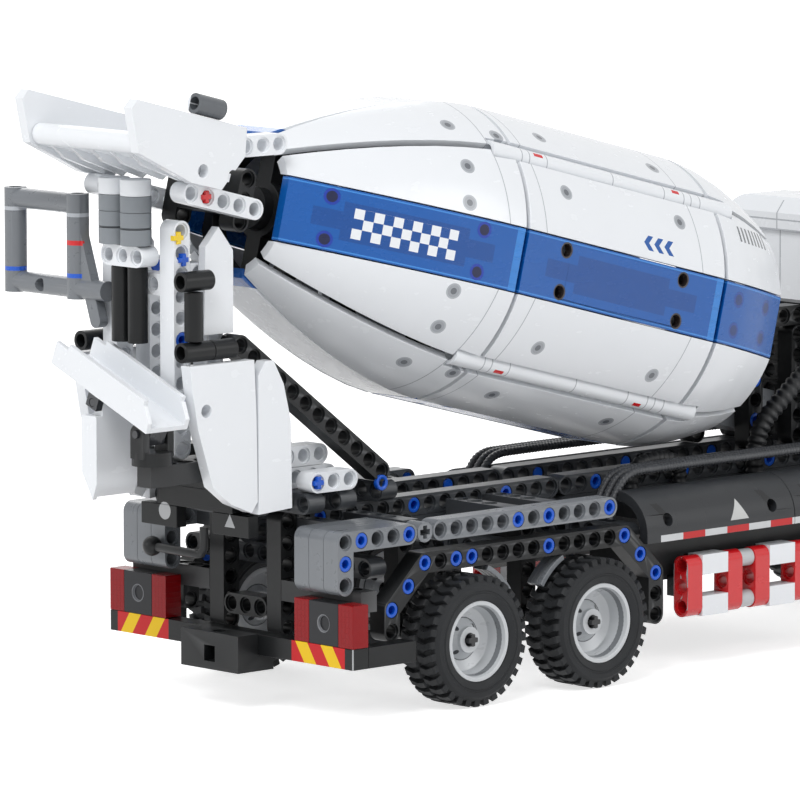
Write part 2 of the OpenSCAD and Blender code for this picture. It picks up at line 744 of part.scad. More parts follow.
module tower_pipes() {
    pipe_z = tower_z0 + 4.5 * pitch + 0.5;
    pipe_y = brace_y + 4;
    ring_z = rear_block_z + half_b + 0.3;
    ring_h = 6.1;
    rings = floor((hopper_z - 9.3 - ring_z) / ring_h);
    place() {
        color("#1b1c1e") both_sides() {
            translate([-52, pipe_y, pipe_z]) rotate([0, 90, 0]) tube(14);
            translate([-37.8, pipe_y, pipe_z]) rotate([0, 90, 0]) tube(11);
        }
        color("#1b1c1e") {
            translate([-45.5, -pipe_y, pipe_z + 3.9]) tube(18, 7);
            translate([-52, -pipe_y, pipe_z + 26]) rotate([0, 90, 0]) tube(14);
            for (y = [-4.5, 4.5]) translate([rear_pipe_x, y, tower_z0 + 4.8 * pitch])
                tube(rear_block_z - half_b - 0.3 - tower_z0 - 4.8 * pitch, 7.6);
        }
        color("#7f8489") for (level = [0 : rings - 1]) for (y = [-6, 6])
            translate([rear_pipe_x - 2.1, y, ring_z + level * ring_h]) cylinder(d = 11.6, h = ring_h - 0.1);
    }
}

module tower_braces() {
    lean = 37;
    foot_z = deck_z + pitch;
    n = round((tower_z0 + 4.6 * pitch - foot_z) / (pitch * sin(lean))) + 1;
    place() color("#26282b") both_sides() translate([6 * pitch, brace_y, foot_z])
        rotate([0, 180 + lean, 0]) beam(n);
}

module hopper_wings() {
    top_rear = hopper_z + 21;
    place() color("white") both_sides() difference() {
        side_plate([[wing_rear_x, top_rear - 3], [wing_rear_x + 3, top_rear], [-23, top_rear - 13.5],
            [-24, top_rear - 24], [-35.5, top_rear - 35.5], [-50, top_rear - 32],
            [-75.5, top_rear - 19.5]], hopper_y + 0.2, 4.4);
        translate([-44.5, hopper_y - 1, top_rear - 28]) rotate([-90, 0, 0]) cylinder(d = hole_d, h = 8);
        translate([-30, hopper_y - 1, top_rear - 31]) rotate([-90, 0, 0]) cylinder(d = hole_d, h = 8);
    }
}

module hopper_floor() {
    bar_x = -70.6;
    bar_z = hopper_z + 4.5;
    low_z = hopper_z - 12.5;
    place() color("white") {
        difference() {
            union() {
                translate([bar_x, hopper_y, bar_z]) rotate([90, 0, 0]) cylinder(d = pitch, h = 2 * hopper_y);
                rotate([90, 0, 0]) translate([0, 0, -hopper_y]) linear_extrude(2 * hopper_y)
                    polygon([[bar_x, bar_z - 4], [bar_x + 2, bar_z - 0.6], [-27, low_z + 3], [-28, low_z]]);
                for (y = [-22, -11, 0, 11, 22]) translate([0, y + 1, 0]) rotate([90, 0, 0]) linear_extrude(2)
                    polygon([[bar_x, bar_z - 3.9], [bar_x + 6, bar_z - 9], [-46, low_z + 1], [-40, low_z + 5]]);
            }
            translate([bar_x, hopper_y + 1, bar_z]) rotate([90, 0, 0]) cylinder(d = hole_d, h = 8);
        }
        rotate([90, 0, 0]) translate([0, 0, -11]) linear_extrude(22)
            polygon([[-27.6, low_z + 0.2], [-27.2, low_z + 2.8], [-4, low_z], [-4, low_z - 2.4]]);
    }
}

module hopper_links() {
    top_y = brace_y;
    link_z = mouth_z + 8.6;
    place() {
        color("white") both_sides() {
            translate([-46, top_y, link_z]) rotate([0, drum_tilt, 0]) beam(5);
            translate([-19, top_y, hopper_z]) beam(3);
        }
        color("#55585d") translate([-41, -hopper_y - 2.4, hopper_z + 16.3])
            rotate([0, 90 + drum_tilt, 0]) translate([0, 0, -6]) tube(13, 7.6);
    }
}

module drum_bearing() {
    s = drum_s0 - 13;
    place() color("#1b1c1e") on_drum_axis(s) {
        both_sides() rotate([0, 90, 0]) translate([0, rail_y, 0]) translate([0, 0, -pitch])
            rotate([0, -90, 0]) beam(3);
        difference() {
            translate([-5.4, -rail_y + half_b + gap / 2, -half_b])
                cube([10.8, 2 * (rail_y - half_b) - gap, beam_w]);
            cylinder(d = hole_d, h = 20, center = true);
        }
    }
}

module ladder_rail() {
    low_z = mouth_z - 30;
    y0 = rail_y - half_b + 0.2;
    posts = [29, 64.6];
    top = 3.9 * pitch;
    place() color("#6b7075") translate([rear_pipe_x, 0, low_z]) difference() {
        union() {
            translate([0, y0, 0]) rotate([-90, 0, 0]) cylinder(d = 7.6, h = posts[1] - y0);
            for (y = posts) translate([0, y, -half_b]) cylinder(d = 8.4, h = top + beam_w);
            translate([0, posts[0], top]) rotate([-90, 0, 0]) cylinder(d = 7.6, h = posts[1] - posts[0]);
            rotate([90, 0, 90]) translate([0, 0, -2]) linear_extrude(4)
                bar_plan([posts[0] - 1, 20], [y0 + 5, -11], 5.6);
        }
        for (y = posts) translate([0, y, top]) cylinder(d = hole_d, h = 9);
        translate([-9, (posts[0] + posts[1]) / 2, 0]) rotate([0, 90, 0]) cylinder(d = hole_d, h = 20);
    }
}

// ---- chute ----

module chute_bracket() {
    n = floor((column_front_x - chute_x) / pitch) + 1;
    place() color("#26282b") translate([chute_x, chute_y, deck_z + 2 * pitch]) difference() {
        translate([-half_b, -half_b, -half_b]) cube([n * pitch, beam_w, beam_w]);
        for (i = [0 : n - 1]) translate([i * pitch, 0, 0]) bore(i > 0);
    }
}

module chute_turret() {
    base_z = deck_z + 2 * pitch + half_b;
    ear_w = 3;
    place() color("#303236") translate([chute_x, chute_y, 0]) {
        translate([0, 0, base_z - beam_w + 1]) cylinder(d = pin_d, h = beam_w + 1);
        difference() {
            union() {
                translate([0, 0, base_z + 0.2]) cylinder(d = 15, h = 5);
                for (x = [-7.4, 7.4 - ear_w]) {
                    translate([x, -3.6, base_z + 3]) cube([ear_w, 7.2, hinge_z - base_z - 3]);
                    translate([x, 0, hinge_z]) rotate([0, 90, 0]) cylinder(d = 7.2, h = ear_w);
                }
            }
            translate([-9, 0, hinge_z]) rotate([0, 90, 0]) cylinder(d = chute_pin_d + 0.2, h = 18);
        }
    }
}

// frame of the trough: origin on its hinge, its length along +Y
module on_chute() {
    translate([chute_x, chute_y, hinge_z]) rotate([chute_lean, 0, 0]) children();
}

module chute_trough() {
    tail = 7;
    place() on_chute() {
        color("white") difference() {
            translate([-trough_w / 2, -tail, chute_floor]) cube([trough_w, trough_l, trough_h]);
            translate([-trough_w / 2 + wall, -tail - 1, chute_floor + wall])
                cube([trough_w - 2 * wall, trough_l + 2, trough_h]);
            translate([-trough_w / 2 - 1, -tail - 1, chute_floor + trough_h]) rotate([-42, 0, 0])
                translate([0, -10, -8]) cube([trough_w + 2, 14, 20]);
        }
        color("white") for (side = [0, 1]) mirror([side, 0, 0])
            translate([trough_w / 2 - wall, -2, chute_floor + trough_h]) cube([wall, trough_l - 12, 2]);
        color("#303236") {
            translate([-4, -3.4, -3.4]) difference() {
                cube([8, 6.8, chute_floor + 3.4]);
                translate([-1, 3.4, 3.4]) rotate([0, 90, 0]) cylinder(d = chute_pin_d + 0.2, h = 10);
            }
            translate([-8.4, 0, 0]) rotate([0, 90, 0]) cylinder(d = chute_pin_d, h = 16.8);
            for (x = [-trough_w / 2, trough_w / 2 - 3])
                translate([x, fold_y - 3, chute_floor - fold_drop - 2.2]) difference() {
                    cube([3, 6, fold_drop + 2.2]);
                    translate([-1, 3, 2.2]) rotate([0, 90, 0]) cylinder(d = chute_pin_d + 0.2, h = 5);
                }
            translate([-trough_w / 2 + 0.2, fold_y, chute_floor - fold_drop]) rotate([0, 90, 0])
                cylinder(d = chute_pin_d, h = trough_w - 0.4);
        }
    }
}

fold_at = [chute_x, chute_y + fold_y * cos(chute_lean) - (chute_floor - fold_drop) * sin(chute_lean),
    hinge_z + fold_y * sin(chute_lean) + (chute_floor - fold_drop) * cos(chute_lean)];

module chute_extension() {
    l = 30;
    barrel_w = trough_w - 6.4;
    place() color("white") translate(fold_at) difference() {
        union() {
            rotate([0, 90, 0]) translate([0, 0, -barrel_w / 2]) cylinder(d = 5.2, h = barrel_w);
            translate([-barrel_w / 2, -2.4, -6]) cube([barrel_w, 4.8, 6]);
            rotate([90, 0, 90]) translate([0, 0, -trough_w / 2]) linear_extrude(trough_w)
                polygon([[-2.4, -5], [6, -5], [6, -l + 4], [0, -l - 6], [-2.4, -l]]);
        }
        translate([-12, 0, 0]) rotate([0, 90, 0]) cylinder(d = chute_pin_d + 0.2, h = 24);
        translate([-trough_w / 2 + 2, -0.4, -l - 7]) cube([trough_w - 4, 20, l]);
    }
}

// ---- axles, wheels and steering ----

module rim() {
    r = rim_d / 2;
    w = tyre_w - 3;
    rotate([90, 0, 0]) rotate_extrude($fn = 72) polygon([[hole_d / 2, 2], [hole_d / 2, w - 5], [5, w - 5],
        [5, w - 6.5], [8, w - 9.5], [r - 3.2, w - 8], [r - 1.6, w], [r, w], [r, 0], [r - 2, 0],
        [r - 2.6, w - 11], [8, w - 12], [5.5, 2]]);
}

module tyre() {
    r = tyre_d / 2;
    bevel = 2.4;
    rotate([90, 0, 0]) translate([0, 0, -1.5]) rotate_extrude($fn = 96) polygon([[rim_d / 2 + 0.1, 1.4],
        [rim_d / 2 + 3, 0.4], [r - bevel, 0.4], [r, bevel], [r, tyre_w - bevel], [r - bevel, tyre_w - 0.4],
        [rim_d / 2 + 3, tyre_w - 0.4], [rim_d / 2 + 0.1, tyre_w - 1.4]]);
}

wheel_inner_y = half_w + 8 - (tyre_w - 3);

module rear_axle(x) {
    half = half_w + 5;
    place() translate([x, 0, axle_z]) {
        color("#1b1c1e") translate([0, half, 0]) rotate([90, 0, 0]) cross_axle(2 * half);
        color("silver") both_sides() translate([0, -wheel_inner_y, 0]) rim();
    }
}

module rear_tyres(x) {
    place() color("#1b1b1d") translate([x, 0, axle_z]) both_sides() translate([0, -wheel_inner_y, 0]) tyre();
}

module rear_axle_1() { rear_axle(axle_1_x); }
module rear_tyres_1() { rear_tyres(axle_1_x); }
module rear_axle_2() { rear_axle(axle_2_x); }
module rear_tyres_2() { rear_tyres(axle_2_x); }

module front_beam() {
    inner = kingpin_y - 7;
    place() color("#26282b") translate([front_axle_x, 0, axle_z]) difference() {
        union() {
            translate([-half_b, -inner, -half_b]) cube([beam_w, 2 * inner, beam_w]);
            both_sides() {
                translate([-half_b, rail_y + half_b + gap, -half_b])
                    cube([beam_w, beam_w, rail_z - axle_z + half_b]);
                translate([-half_b, inner - 4, -12]) cube([beam_w, 4, 24]);
                for (z = [-12, 8]) {
                    translate([-half_b, inner - 1, z]) cube([beam_w, 8, 4]);
                    translate([0, kingpin_y, z]) cylinder(d = beam_w, h = 4);
                }
            }
        }
        both_sides() translate([0, kingpin_y, -13]) cylinder(d = hole_d, h = 26);
    }
}

module knuckle() {
    place() color("#3a3d42") translate([front_axle_x, kingpin_y, axle_z]) {
        translate([0, 0, -12]) cylinder(d = kingpin_d, h = 24);
        translate([-4.5, -2.8, -7.6]) cube([9, 7, 15.2]);
        rotate([-90, 0, 0]) cylinder(d = pin_d, h = half_w + 5 - kingpin_y);
        translate([-arm_l, -2, -7.6]) cube([arm_l, 4, 3.2]);
        translate([-arm_l, 0, -7.6]) cylinder(d = 7, h = 3.2);
        translate([-arm_l, 0, -5]) cylinder(d = 3, h = 6);
    }
}

module knuckle_left() { knuckle(); }
module knuckle_right() { mirror([0, 1, 0]) knuckle(); }

module tie_rod() {
    rod_z = axle_z - 7.6 + 3.4;
    place() color("#26282b") translate([front_axle_x - arm_l, 0, rod_z]) difference() {
        union() {
            translate([-3, -kingpin_y, 0]) cube([6, 2 * kingpin_y, 3]);
            for (y = [-kingpin_y, kingpin_y]) translate([0, y, 0]) cylinder(d = 9, h = 3);
        }
        for (y = [-kingpin_y, kingpin_y]) translate([0, y, -1]) {
            translate([0, -1.9, 0]) cube([1.6, 3.8, 6]);
            cylinder(d = 3.8, h = 6);
            translate([1.4, 0, 0]) cylinder(d = 3.8, h = 6);
        }
    }
}

module front_wheel() {
    place() translate([front_axle_x, 0, axle_z]) mirror([0, 1, 0]) translate([0, -wheel_inner_y, 0]) {
        color("silver") rim();
        color("#1b1b1d") tyre();
    }
}

module front_wheel_left() { front_wheel(); }
module front_wheel_right() { mirror([0, 1, 0]) front_wheel(); }

// ---- cab ----

cab_z0 = deck_top + gap;
cab_top = cab_z0 + cab_h;
cab_wall = 3.4;
arch_r = axle_z + 12;
door_x0 = cab_x0 + 26;
door_x1 = cab_x1 - 30;
door_z0 = cab_z0 + 6;
door_z1 = cab_top - 14;
hinge_x = door_x1 + 3.2;
hinge_y = half_w + 1.6;
screen_z0 = cab_z0 + 40;
screen_z1 = cab_top - 8;
screen_w = 2 * half_w - 24;

module hinge_eye(z, h, d = 5.2) {
    translate([hinge_x, hinge_y, z]) cylinder(d = d, h = h);
}

module cab_shell() {
    outer_y = half_w - 1;
    inner_y = outer_y - cab_wall;
    skirt_z = axle_z + 24;
    place() color("white") {
        difference() {
            translate([cab_x0, -outer_y, skirt_z]) cube([cab_l, 2 * outer_y, cab_top - skirt_z]);
            translate([cab_x0 + cab_wall, -inner_y, cab_z0 + cab_wall])
                cube([cab_l - 2 * cab_wall, 2 * inner_y, cab_h]);
            translate([cab_x0 - 1, -inner_y, 0]) cube([cab_l + 2, 2 * inner_y, cab_z0]);
            translate([front_axle_x, half_w + 5, axle_z]) rotate([90, 0, 0])
                cylinder(r = arch_r, h = 2 * half_w + 10, $fn = 96);
            for (y = [-outer_y - 1, inner_y - 1]) translate([door_x0, y, door_z0])
                cube([door_x1 - door_x0, cab_wall + 2, door_z1 - door_z0]);
            translate([cab_x1 - cab_wall - 1, -screen_w / 2, screen_z0])
                cube([cab_wall + 2, screen_w, screen_z1 - screen_z0]);
            translate([cab_x0 + cab_wall + 12, 0, cab_z0 - 1]) cylinder(d = hole_d, h = 8);
        }
        both_sides() for (z = [door_z0 + 6, door_z1 - 10]) {
            hinge_eye(z - 1.2, 6.4, 2.8);
            difference() {
                union() {
                    hinge_eye(z - 3.2, 3);
                    translate([hinge_x, outer_y + 0.1, z - 3.2]) cube([6, 2, 3]);
                }
                translate([hinge_x - 5, outer_y - 1, z - 4]) cube([10, 1.05, 6]);
            }
        }
    }
}

module door() {
    outer_y = half_w - 1;
    place() color("white") {
        difference() {
            translate([door_x0 + 0.4, outer_y - cab_wall, door_z0 + 0.4])
                cube([door_x1 - door_x0 - 0.8, cab_wall, door_z1 - door_z0 - 0.8]);
            translate([door_x0 + 7, outer_y - cab_wall - 1, door_z0 + 34])
                cube([door_x1 - door_x0 - 14, cab_wall + 2, door_z1 - door_z0 - 42]);
        }
        for (z = [door_z0 + 6, door_z1 - 10]) difference() {
            union() {
                hinge_eye(z, 4);
                translate([door_x1 - 6, outer_y - 0.6, z]) cube([hinge_x - door_x1 + 6, 3, 4]);
            }
            hinge_eye(z - 1, 6, 3.2);
            translate([door_x1 - 0.4, outer_y - 2, z - 1]) cube([hinge_x - door_x1 + 3, 2.3, 6]);
        }
        translate([door_x0 + 4, outer_y - 0.2, door_z0 + 27]) cube([9, 2, 2.4]);
    }
}

module door_left() { door(); }
module door_right() { mirror([0, 1, 0]) door(); }

module cab_roof() {
    half = half_w - 1;
    rise = 13;
    edge_r = 9;
    place() color("white") translate([0, 0, cab_top + 0.1]) intersection() {
        translate([0, half, 0]) rotate([90, 0, 0]) linear_extrude(2 * half)
            polygon([[cab_x0 - 2, 0], [cab_x1 - 1, 0], [cab_x1 - 3, 4], [cab_x1 - 34, 7],
                [cab_x0 + 24, rise], [cab_x0 + 3, rise], [cab_x0 - 2, rise - 6]]);
        translate([cab_x0 - 3, 0, 0]) rotate([90, 0, 90]) linear_extrude(cab_l + 4) {
            translate([-half, 0]) square([2 * half, rise - edge_r]);
            translate([-half + edge_r, 0]) square([2 * (half - edge_r), rise + 1]);
            for (y = [-half + edge_r, half - edge_r]) translate([y, rise - edge_r])
                circle(r = edge_r, $fn = 64);
        }
    }
}

module cab_glass() {
    place() color("#9fb8c4", 0.5) translate([cab_x1 - cab_wall + 0.6, -screen_w / 2 + 0.1, screen_z0 + 0.1])
        cube([1.8, screen_w - 0.2, screen_z1 - screen_z0 - 0.2]);
}

module cab_front() {
    outer_y = half_w - 1;
    low_z = axle_z + 16;
    place() {
        color("#303236") difference() {
            translate([cab_x1 + 0.1, -outer_y, low_z]) cube([4.9, 2 * outer_y, cab_z0 + 4 - low_z]);
            both_sides() translate([cab_x1 + 3, 32, low_z + 8]) cube([3, 20, 12]);
        }
        color("#e8edf0") both_sides() translate([cab_x1 + 3.1, 32.2, low_z + 8.2]) cube([1.7, 19.6, 11.6]);
        color("#26282b") translate([cab_x1 + 0.1, -40, cab_z0 + 8]) difference() {
            cube([3, 80, 26]);
            for (z = [3 : 6 : 21]) translate([1.4, 4, z]) cube([3, 72, 2.6]);
        }
        color("#26282b") both_sides() {
            translate([cab_x1 - 12, outer_y + 0.1, screen_z1 - 8]) cube([3, 6, 3]);
            translate([cab_x1 - 13, outer_y + 3, screen_z1 - 34]) cube([5, 7, 26]);
        }
    }
}

module cab_interior() {
    floor_z = cab_z0 + cab_wall + 0.1;
    place() {
        color("#303236") both_sides() translate([cab_x0 + 34, 14, floor_z]) {
            cube([30, 26, 14]);
            translate([-8, 0, 0]) cube([8, 26, 46]);
        }
        color("#26282b") difference() {
            translate([cab_x1 - cab_wall - 16.2, -inner_cab_y(), floor_z]) cube([16, 2 * inner_cab_y(), 32]);
            translate(wheel_at) rotate([0, 120, 0])
                cylinder(d = hole_d, h = 30, center = true);
        }
    }
}

function inner_cab_y() = half_w - 1 - cab_wall - 0.1;

wheel_at = [cab_x1 - cab_wall - 18, 27, cab_z0 + cab_wall + 26];

module steering_wheel() {
    place() color("#1b1c1e") translate(wheel_at) rotate([0, 120, 0]) {
        translate([0, 0, -8]) cylinder(d = pin_d, h = 14);
        translate([0, 0, -9]) rotate_extrude() polygon([[8.6, -0.6], [9.4, -1.4], [10.6, -1.4],
            [11.4, -0.6], [11.4, 0.6], [10.6, 1.4], [9.4, 1.4], [8.6, 0.6]]);
        for (a = [0 : 120 : 240]) rotate(a) translate([0, -1.2, -9.8]) cube([9.8, 2.4, 1.6]);
    }
}

// ---- pins ----

module connector_pins() {
    side_pins = [for (i = [1, 4]) [i * pitch, side_z], [0, side_z - pitch],
        for (i = [11, 13, 17]) [i * pitch, side_z]];
    fender_pins = [for (i = [0, 2, 3, 8, 13]) [fender_first_x + i * pitch + 0.0, fender_z],
        [fender_first_x - 2.1 * pitch, fender_z - 2 * pitch],
        [fender_first_x - 1.05 * pitch, fender_z - pitch],
        [fender_last_x + 2.1 * pitch, fender_z - 2 * pitch],
        [fender_last_x + 1.05 * pitch, fender_z - pitch]];
    tower_pins = [[column_rear_x, tower_z0 + 5 * pitch], [column_rear_x, tower_z0 + 2 * pitch],
        [column_front_x, tower_z0 + 8 * pitch]];
    place() color("#1a4fd0") both_sides() {
        for (p = concat(side_pins, fender_pins)) translate([p[0], -side_y, p[1]]) pin();
        for (p = tower_pins) translate([p[0], -rail_y, p[1]]) pin();
        for (x = [rail_x0 + pitch : 6 * pitch : cab_x0 - 2 * pitch]) translate([x, -rail_y, rail_z]) pin();
        for (i = [1, 3, 5]) translate([pedestal_x, -rail_y, deck_top + half_b + gap + i * pitch]) pin();
    }
}

main_rails();
cross_beams();
side_beams();
rear_corner_beams();
fender_beams();
mudguard_strips();
axle_carriers();
rear_frame();
bumper();
tail_lamps();
tow_hitch();
rear_plates();
side_tanks();
tank_panels();
tank_hoses();
side_guards();
tower_base();
tower_frames();
tower_fairings();
tower_pipes();
tower_braces();
hopper_wings();
hopper_floor();
hopper_links();
drum_bearing();
ladder_rail();
chute_bracket();
front_pedestal();
drum_motor();
pedestal_hoses();
connector_pins();
drum_core();
drum_rear_panels();
drum_mid_panels();
drum_front_panels();
drum_flat_panels();
drum_rods();
drum_gear();
motor_pinion();
chute_turret();
chute_trough();
chute_extension();
rear_axle_1();
rear_tyres_1();
rear_axle_2();
rear_tyres_2();
front_beam();
knuckle_left();
knuckle_right();
tie_rod();
front_wheel_left();
front_wheel_right();
cab_shell();
cab_roof();
cab_glass();
cab_front();
door_left();
door_right();
cab_interior();
steering_wheel();
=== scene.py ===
import json
import math
import bpy
from mathutils import Matrix, Vector


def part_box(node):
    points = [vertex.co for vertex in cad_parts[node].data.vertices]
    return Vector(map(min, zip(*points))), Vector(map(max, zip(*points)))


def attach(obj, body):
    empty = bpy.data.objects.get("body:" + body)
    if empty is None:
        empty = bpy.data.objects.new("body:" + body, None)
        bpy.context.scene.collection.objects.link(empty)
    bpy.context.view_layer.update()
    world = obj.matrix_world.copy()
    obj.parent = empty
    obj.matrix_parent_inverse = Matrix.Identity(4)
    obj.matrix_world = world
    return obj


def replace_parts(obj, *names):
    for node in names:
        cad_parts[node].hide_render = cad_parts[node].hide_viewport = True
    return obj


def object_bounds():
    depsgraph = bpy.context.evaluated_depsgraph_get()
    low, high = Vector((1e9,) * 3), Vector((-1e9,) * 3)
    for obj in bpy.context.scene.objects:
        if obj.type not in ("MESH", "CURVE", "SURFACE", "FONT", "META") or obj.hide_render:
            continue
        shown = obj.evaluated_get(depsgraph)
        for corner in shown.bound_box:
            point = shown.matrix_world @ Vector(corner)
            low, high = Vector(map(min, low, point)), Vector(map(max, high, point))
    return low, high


# The looks of a toy cement mixer truck. The frame's own nodes get procedural finishes and marks,
# and the tyres, the front rims and the ribbed hoses are replaced by finer pieces.
# The finishes and the stage are in metres, the added pieces are in millimetres.

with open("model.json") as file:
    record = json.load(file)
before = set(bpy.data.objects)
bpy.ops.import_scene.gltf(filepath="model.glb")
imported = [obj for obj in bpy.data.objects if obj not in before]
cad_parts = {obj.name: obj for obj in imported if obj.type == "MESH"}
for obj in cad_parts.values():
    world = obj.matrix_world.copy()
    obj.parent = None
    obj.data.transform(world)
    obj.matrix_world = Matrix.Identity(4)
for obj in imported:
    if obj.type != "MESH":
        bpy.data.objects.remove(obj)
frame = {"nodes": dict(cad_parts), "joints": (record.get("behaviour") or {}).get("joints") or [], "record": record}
cad_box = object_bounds()
nodes = frame["nodes"]
joints = {j["name"]: j for j in frame["joints"]}
MM = 0.001
AXIS = Vector(joints["drum_spin"]["axis"])
PIVOT = Vector(joints["drum_spin"]["pos_m"])


def srgb(r, g, b):
    """A colour given as 0 to 255, as a linear colour."""
    def lin(c):
        c /= 255
        return c / 12.92 if c <= 0.04045 else ((c + 0.055) / 1.055) ** 2.4
    return (lin(r), lin(g), lin(b), 1.0)


WHITE = srgb(232, 235, 239)
BLACK = srgb(13, 14, 15)
DARK = srgb(50, 53, 57)
GREY = srgb(112, 116, 121)
SILVER = srgb(186, 189, 192)
BLUE = srgb(2, 86, 166)
PIN_BLUE = srgb(6, 84, 196)
RED = srgb(205, 18, 26)
YELLOW = srgb(240, 205, 30)
PALE = srgb(205, 207, 209)
LINE = srgb(176, 180, 186)      # seams in white plastic, and painted shade in the rims of the drum's fixing holes


# ---- node trees ----

class Num:
    """A number inside a material's node tree. A mask is a Num that is 0 or 1."""

    def __init__(self, tree, socket):
        self.tree, self.socket = tree, socket

    def op(self, name, *others):
        node = self.tree.nodes.new("ShaderNodeMath")
        node.operation = name
        for i, v in enumerate((self,) + others):
            if isinstance(v, Num):
                self.tree.links.new(v.socket, node.inputs[i])
            else:
                node.inputs[i].default_value = v
        return Num(self.tree, node.outputs[0])

    def __add__(self, other):
        return self.op("ADD", other)

    def __sub__(self, other):
        return self.op("SUBTRACT", other)

    def __mul__(self, other):
        return self.op("MULTIPLY", other)

    def __abs__(self):
        return self.op("ABSOLUTE")

    def above(self, limit):
        return self.op("GREATER_THAN", limit)

    def below(self, limit):
        return self.op("LESS_THAN", limit)

    def inside(self, low, high):
        return self.above(low) * self.below(high)

    def near(self, place, half):
        return abs(self - place).below(half)

    def wrap(self, period):
        return self.op("FLOORED_MODULO", period)

    def stripes(self, pitch, width):
        """Stripes across this direction, one at the start of each pitch."""
        return self.wrap(pitch).below(width)

    def opposite(self):
        return self * -1.0 + 1.0


def any_of(*masks):
    """A mask of the places where at least one of the masks is 1."""
    total = masks[0]
    for mask in masks[1:]:
        total = total.op("MAXIMUM", mask)
    return total


def distance(*parts):
    total = parts[0] * parts[0]
    for p in parts[1:]:
        total = total + p * p
    return total.op("SQRT")


class Finish:
    """A moulded plastic or rubber finish, with its colour built up in layers.

    x, y and z are the place in the frame, s is the distance along the drum's axis from the
    drum's pivot, and u is the height across that axis. All are in metres.
    """

    DIRT = (0.1, 0.11, 0.12, 1.0)
    # Painted highlight: a pale grey laid on sharp edges in place of their sheen
    EDGE_SHEEN = (0.55, 0.56, 0.58, 1.0)
    GRAIN_DEPTH = 0.06 * MM
    SHARP_EDGE = 0.53           # pointiness at which an edge starts to show its painted highlight

    def __init__(self, name, colour, rough=0.28, grain=0.25, drift=0.05,
                 metallic=0.0, coat=0.0, edge=0.0, shine=0.5):
        self.mat = bpy.data.materials.new(name)
        self.mat.use_nodes = True
        self.mat.diffuse_color = colour
        self.tree = self.mat.node_tree
        self.bsdf = self.tree.nodes["Principled BSDF"]
        self.bsdf.inputs["Metallic"].default_value = metallic
        self.bsdf.inputs["Coat Weight"].default_value = coat
        self.bsdf.inputs["Coat Roughness"].default_value = 0.12
        self.bsdf.inputs["IOR"].default_value = 1.5
        self.bsdf.inputs["Specular IOR Level"].default_value = shine
        coord = self.tree.nodes.new("ShaderNodeTexCoord")
        self.place = coord.outputs["Object"]
        split = self.tree.nodes.new("ShaderNodeSeparateXYZ")
        self.tree.links.new(self.place, split.inputs[0])
        self.x, self.y, self.z = (Num(self.tree, s) for s in split.outputs)
        self.s = self.x * AXIS.x + self.z * AXIS.z - PIVOT.dot(AXIS)
        self.u = self.x * -AXIS.z + self.z * AXIS.x - (PIVOT.z * AXIS.x - PIVOT.x * AXIS.z)
        self.base = colour
        self.reliefs = []
        self.rough, self.grain, self.drift, self.edge = rough, grain, drift, edge

    def noise(self, scale, detail=2.0, stretch=None):
        node = self.tree.nodes.new("ShaderNodeTexNoise")
        node.inputs["Scale"].default_value = scale
        node.inputs["Detail"].default_value = detail
        place = self.place
        if stretch:
            bend = self.tree.nodes.new("ShaderNodeMapping")
            bend.inputs["Scale"].default_value = stretch
            self.tree.links.new(place, bend.inputs["Vector"])
            place = bend.outputs[0]
        self.tree.links.new(place, node.inputs["Vector"])
        return Num(self.tree, node.outputs["Fac"])

    def mix(self, mask, a, b):
        """Colour a where the mask is 0, and colour b where it is 1."""
        node = self.tree.nodes.new("ShaderNodeMix")
        node.data_type = "RGBA"
        for slot, v in ((0, mask), (6, a), (7, b)):
            if isinstance(v, Num):
                self.tree.links.new(v.socket, node.inputs[slot])
            elif isinstance(v, bpy.types.NodeSocket):
                self.tree.links.new(v, node.inputs[slot])
            else:
                node.inputs[slot].default_value = v
        return node.outputs[2]

    def paint(self, mask, colour):
        self.base = self.mix(mask, self.base, colour)

    def relief(self, height, depth):
        """Height runs from 0 to 1, and depth is in millimetres."""
        self.reliefs.append((height, depth * MM))

    def colour(self):
        """The painted layers with a little dirt, and a painted highlight on the sharp edges."""
        colour = self.mix(self.noise(38, 3.0), self.base,
                          self.mix(self.drift, self.base, self.DIRT))
        # Painted highlight: sharp edges are lightened by pointiness towards the pale edge colour
        if self.edge:
            geo = self.tree.nodes.new("ShaderNodeNewGeometry")
            edge_sheen = (Num(self.tree, geo.outputs["Pointiness"]) - self.SHARP_EDGE) * (14.0 * self.edge)
            edge_sheen.socket.node.use_clamp = True
            colour = self.mix(edge_sheen, colour, self.EDGE_SHEEN)
        return colour

    def roughness(self):
        smear = (self.noise(150, 3.0) - 0.5) * 0.16
        scuff = (self.noise(60, 4.0, (1.0, 9.0, 9.0)) - 0.5) * 0.12
        rough = smear + scuff + self.rough
        rough.socket.node.use_clamp = True
        return rough.socket

    def normal(self):
        """The reliefs one over the other, and the grain of the plastic over them."""
        under = None
        for height, depth in self.reliefs:
            step = self.tree.nodes.new("ShaderNodeBump")
            step.inputs["Distance"].default_value = depth
            self.tree.links.new(height.socket, step.inputs["Height"])
            if under:
                self.tree.links.new(under, step.inputs["Normal"])
            under = step.outputs[0]
        bump = self.tree.nodes.new("ShaderNodeBump")
        bump.inputs["Strength"].default_value = self.grain
        bump.inputs["Distance"].default_value = self.GRAIN_DEPTH
        if under:
            self.tree.links.new(under, bump.inputs["Normal"])
        skin = self.noise(1100, 2.0) + self.noise(120, 2.0) * 1.5
        self.tree.links.new(skin.socket, bump.inputs["Height"])
        return bump.outputs[0]

    def done(self):
        self.tree.links.new(self.colour(), self.bsdf.inputs["Base Color"])
        self.tree.links.new(self.roughness(), self.bsdf.inputs["Roughness"])
        self.tree.links.new(self.normal(), self.bsdf.inputs["Normal"])
        return self.mat


# ---- camera, lights and floor ----

def add_object(name, data):
    obj = bpy.data.objects.new(name, data)
    bpy.context.scene.collection.objects.link(obj)
    return obj


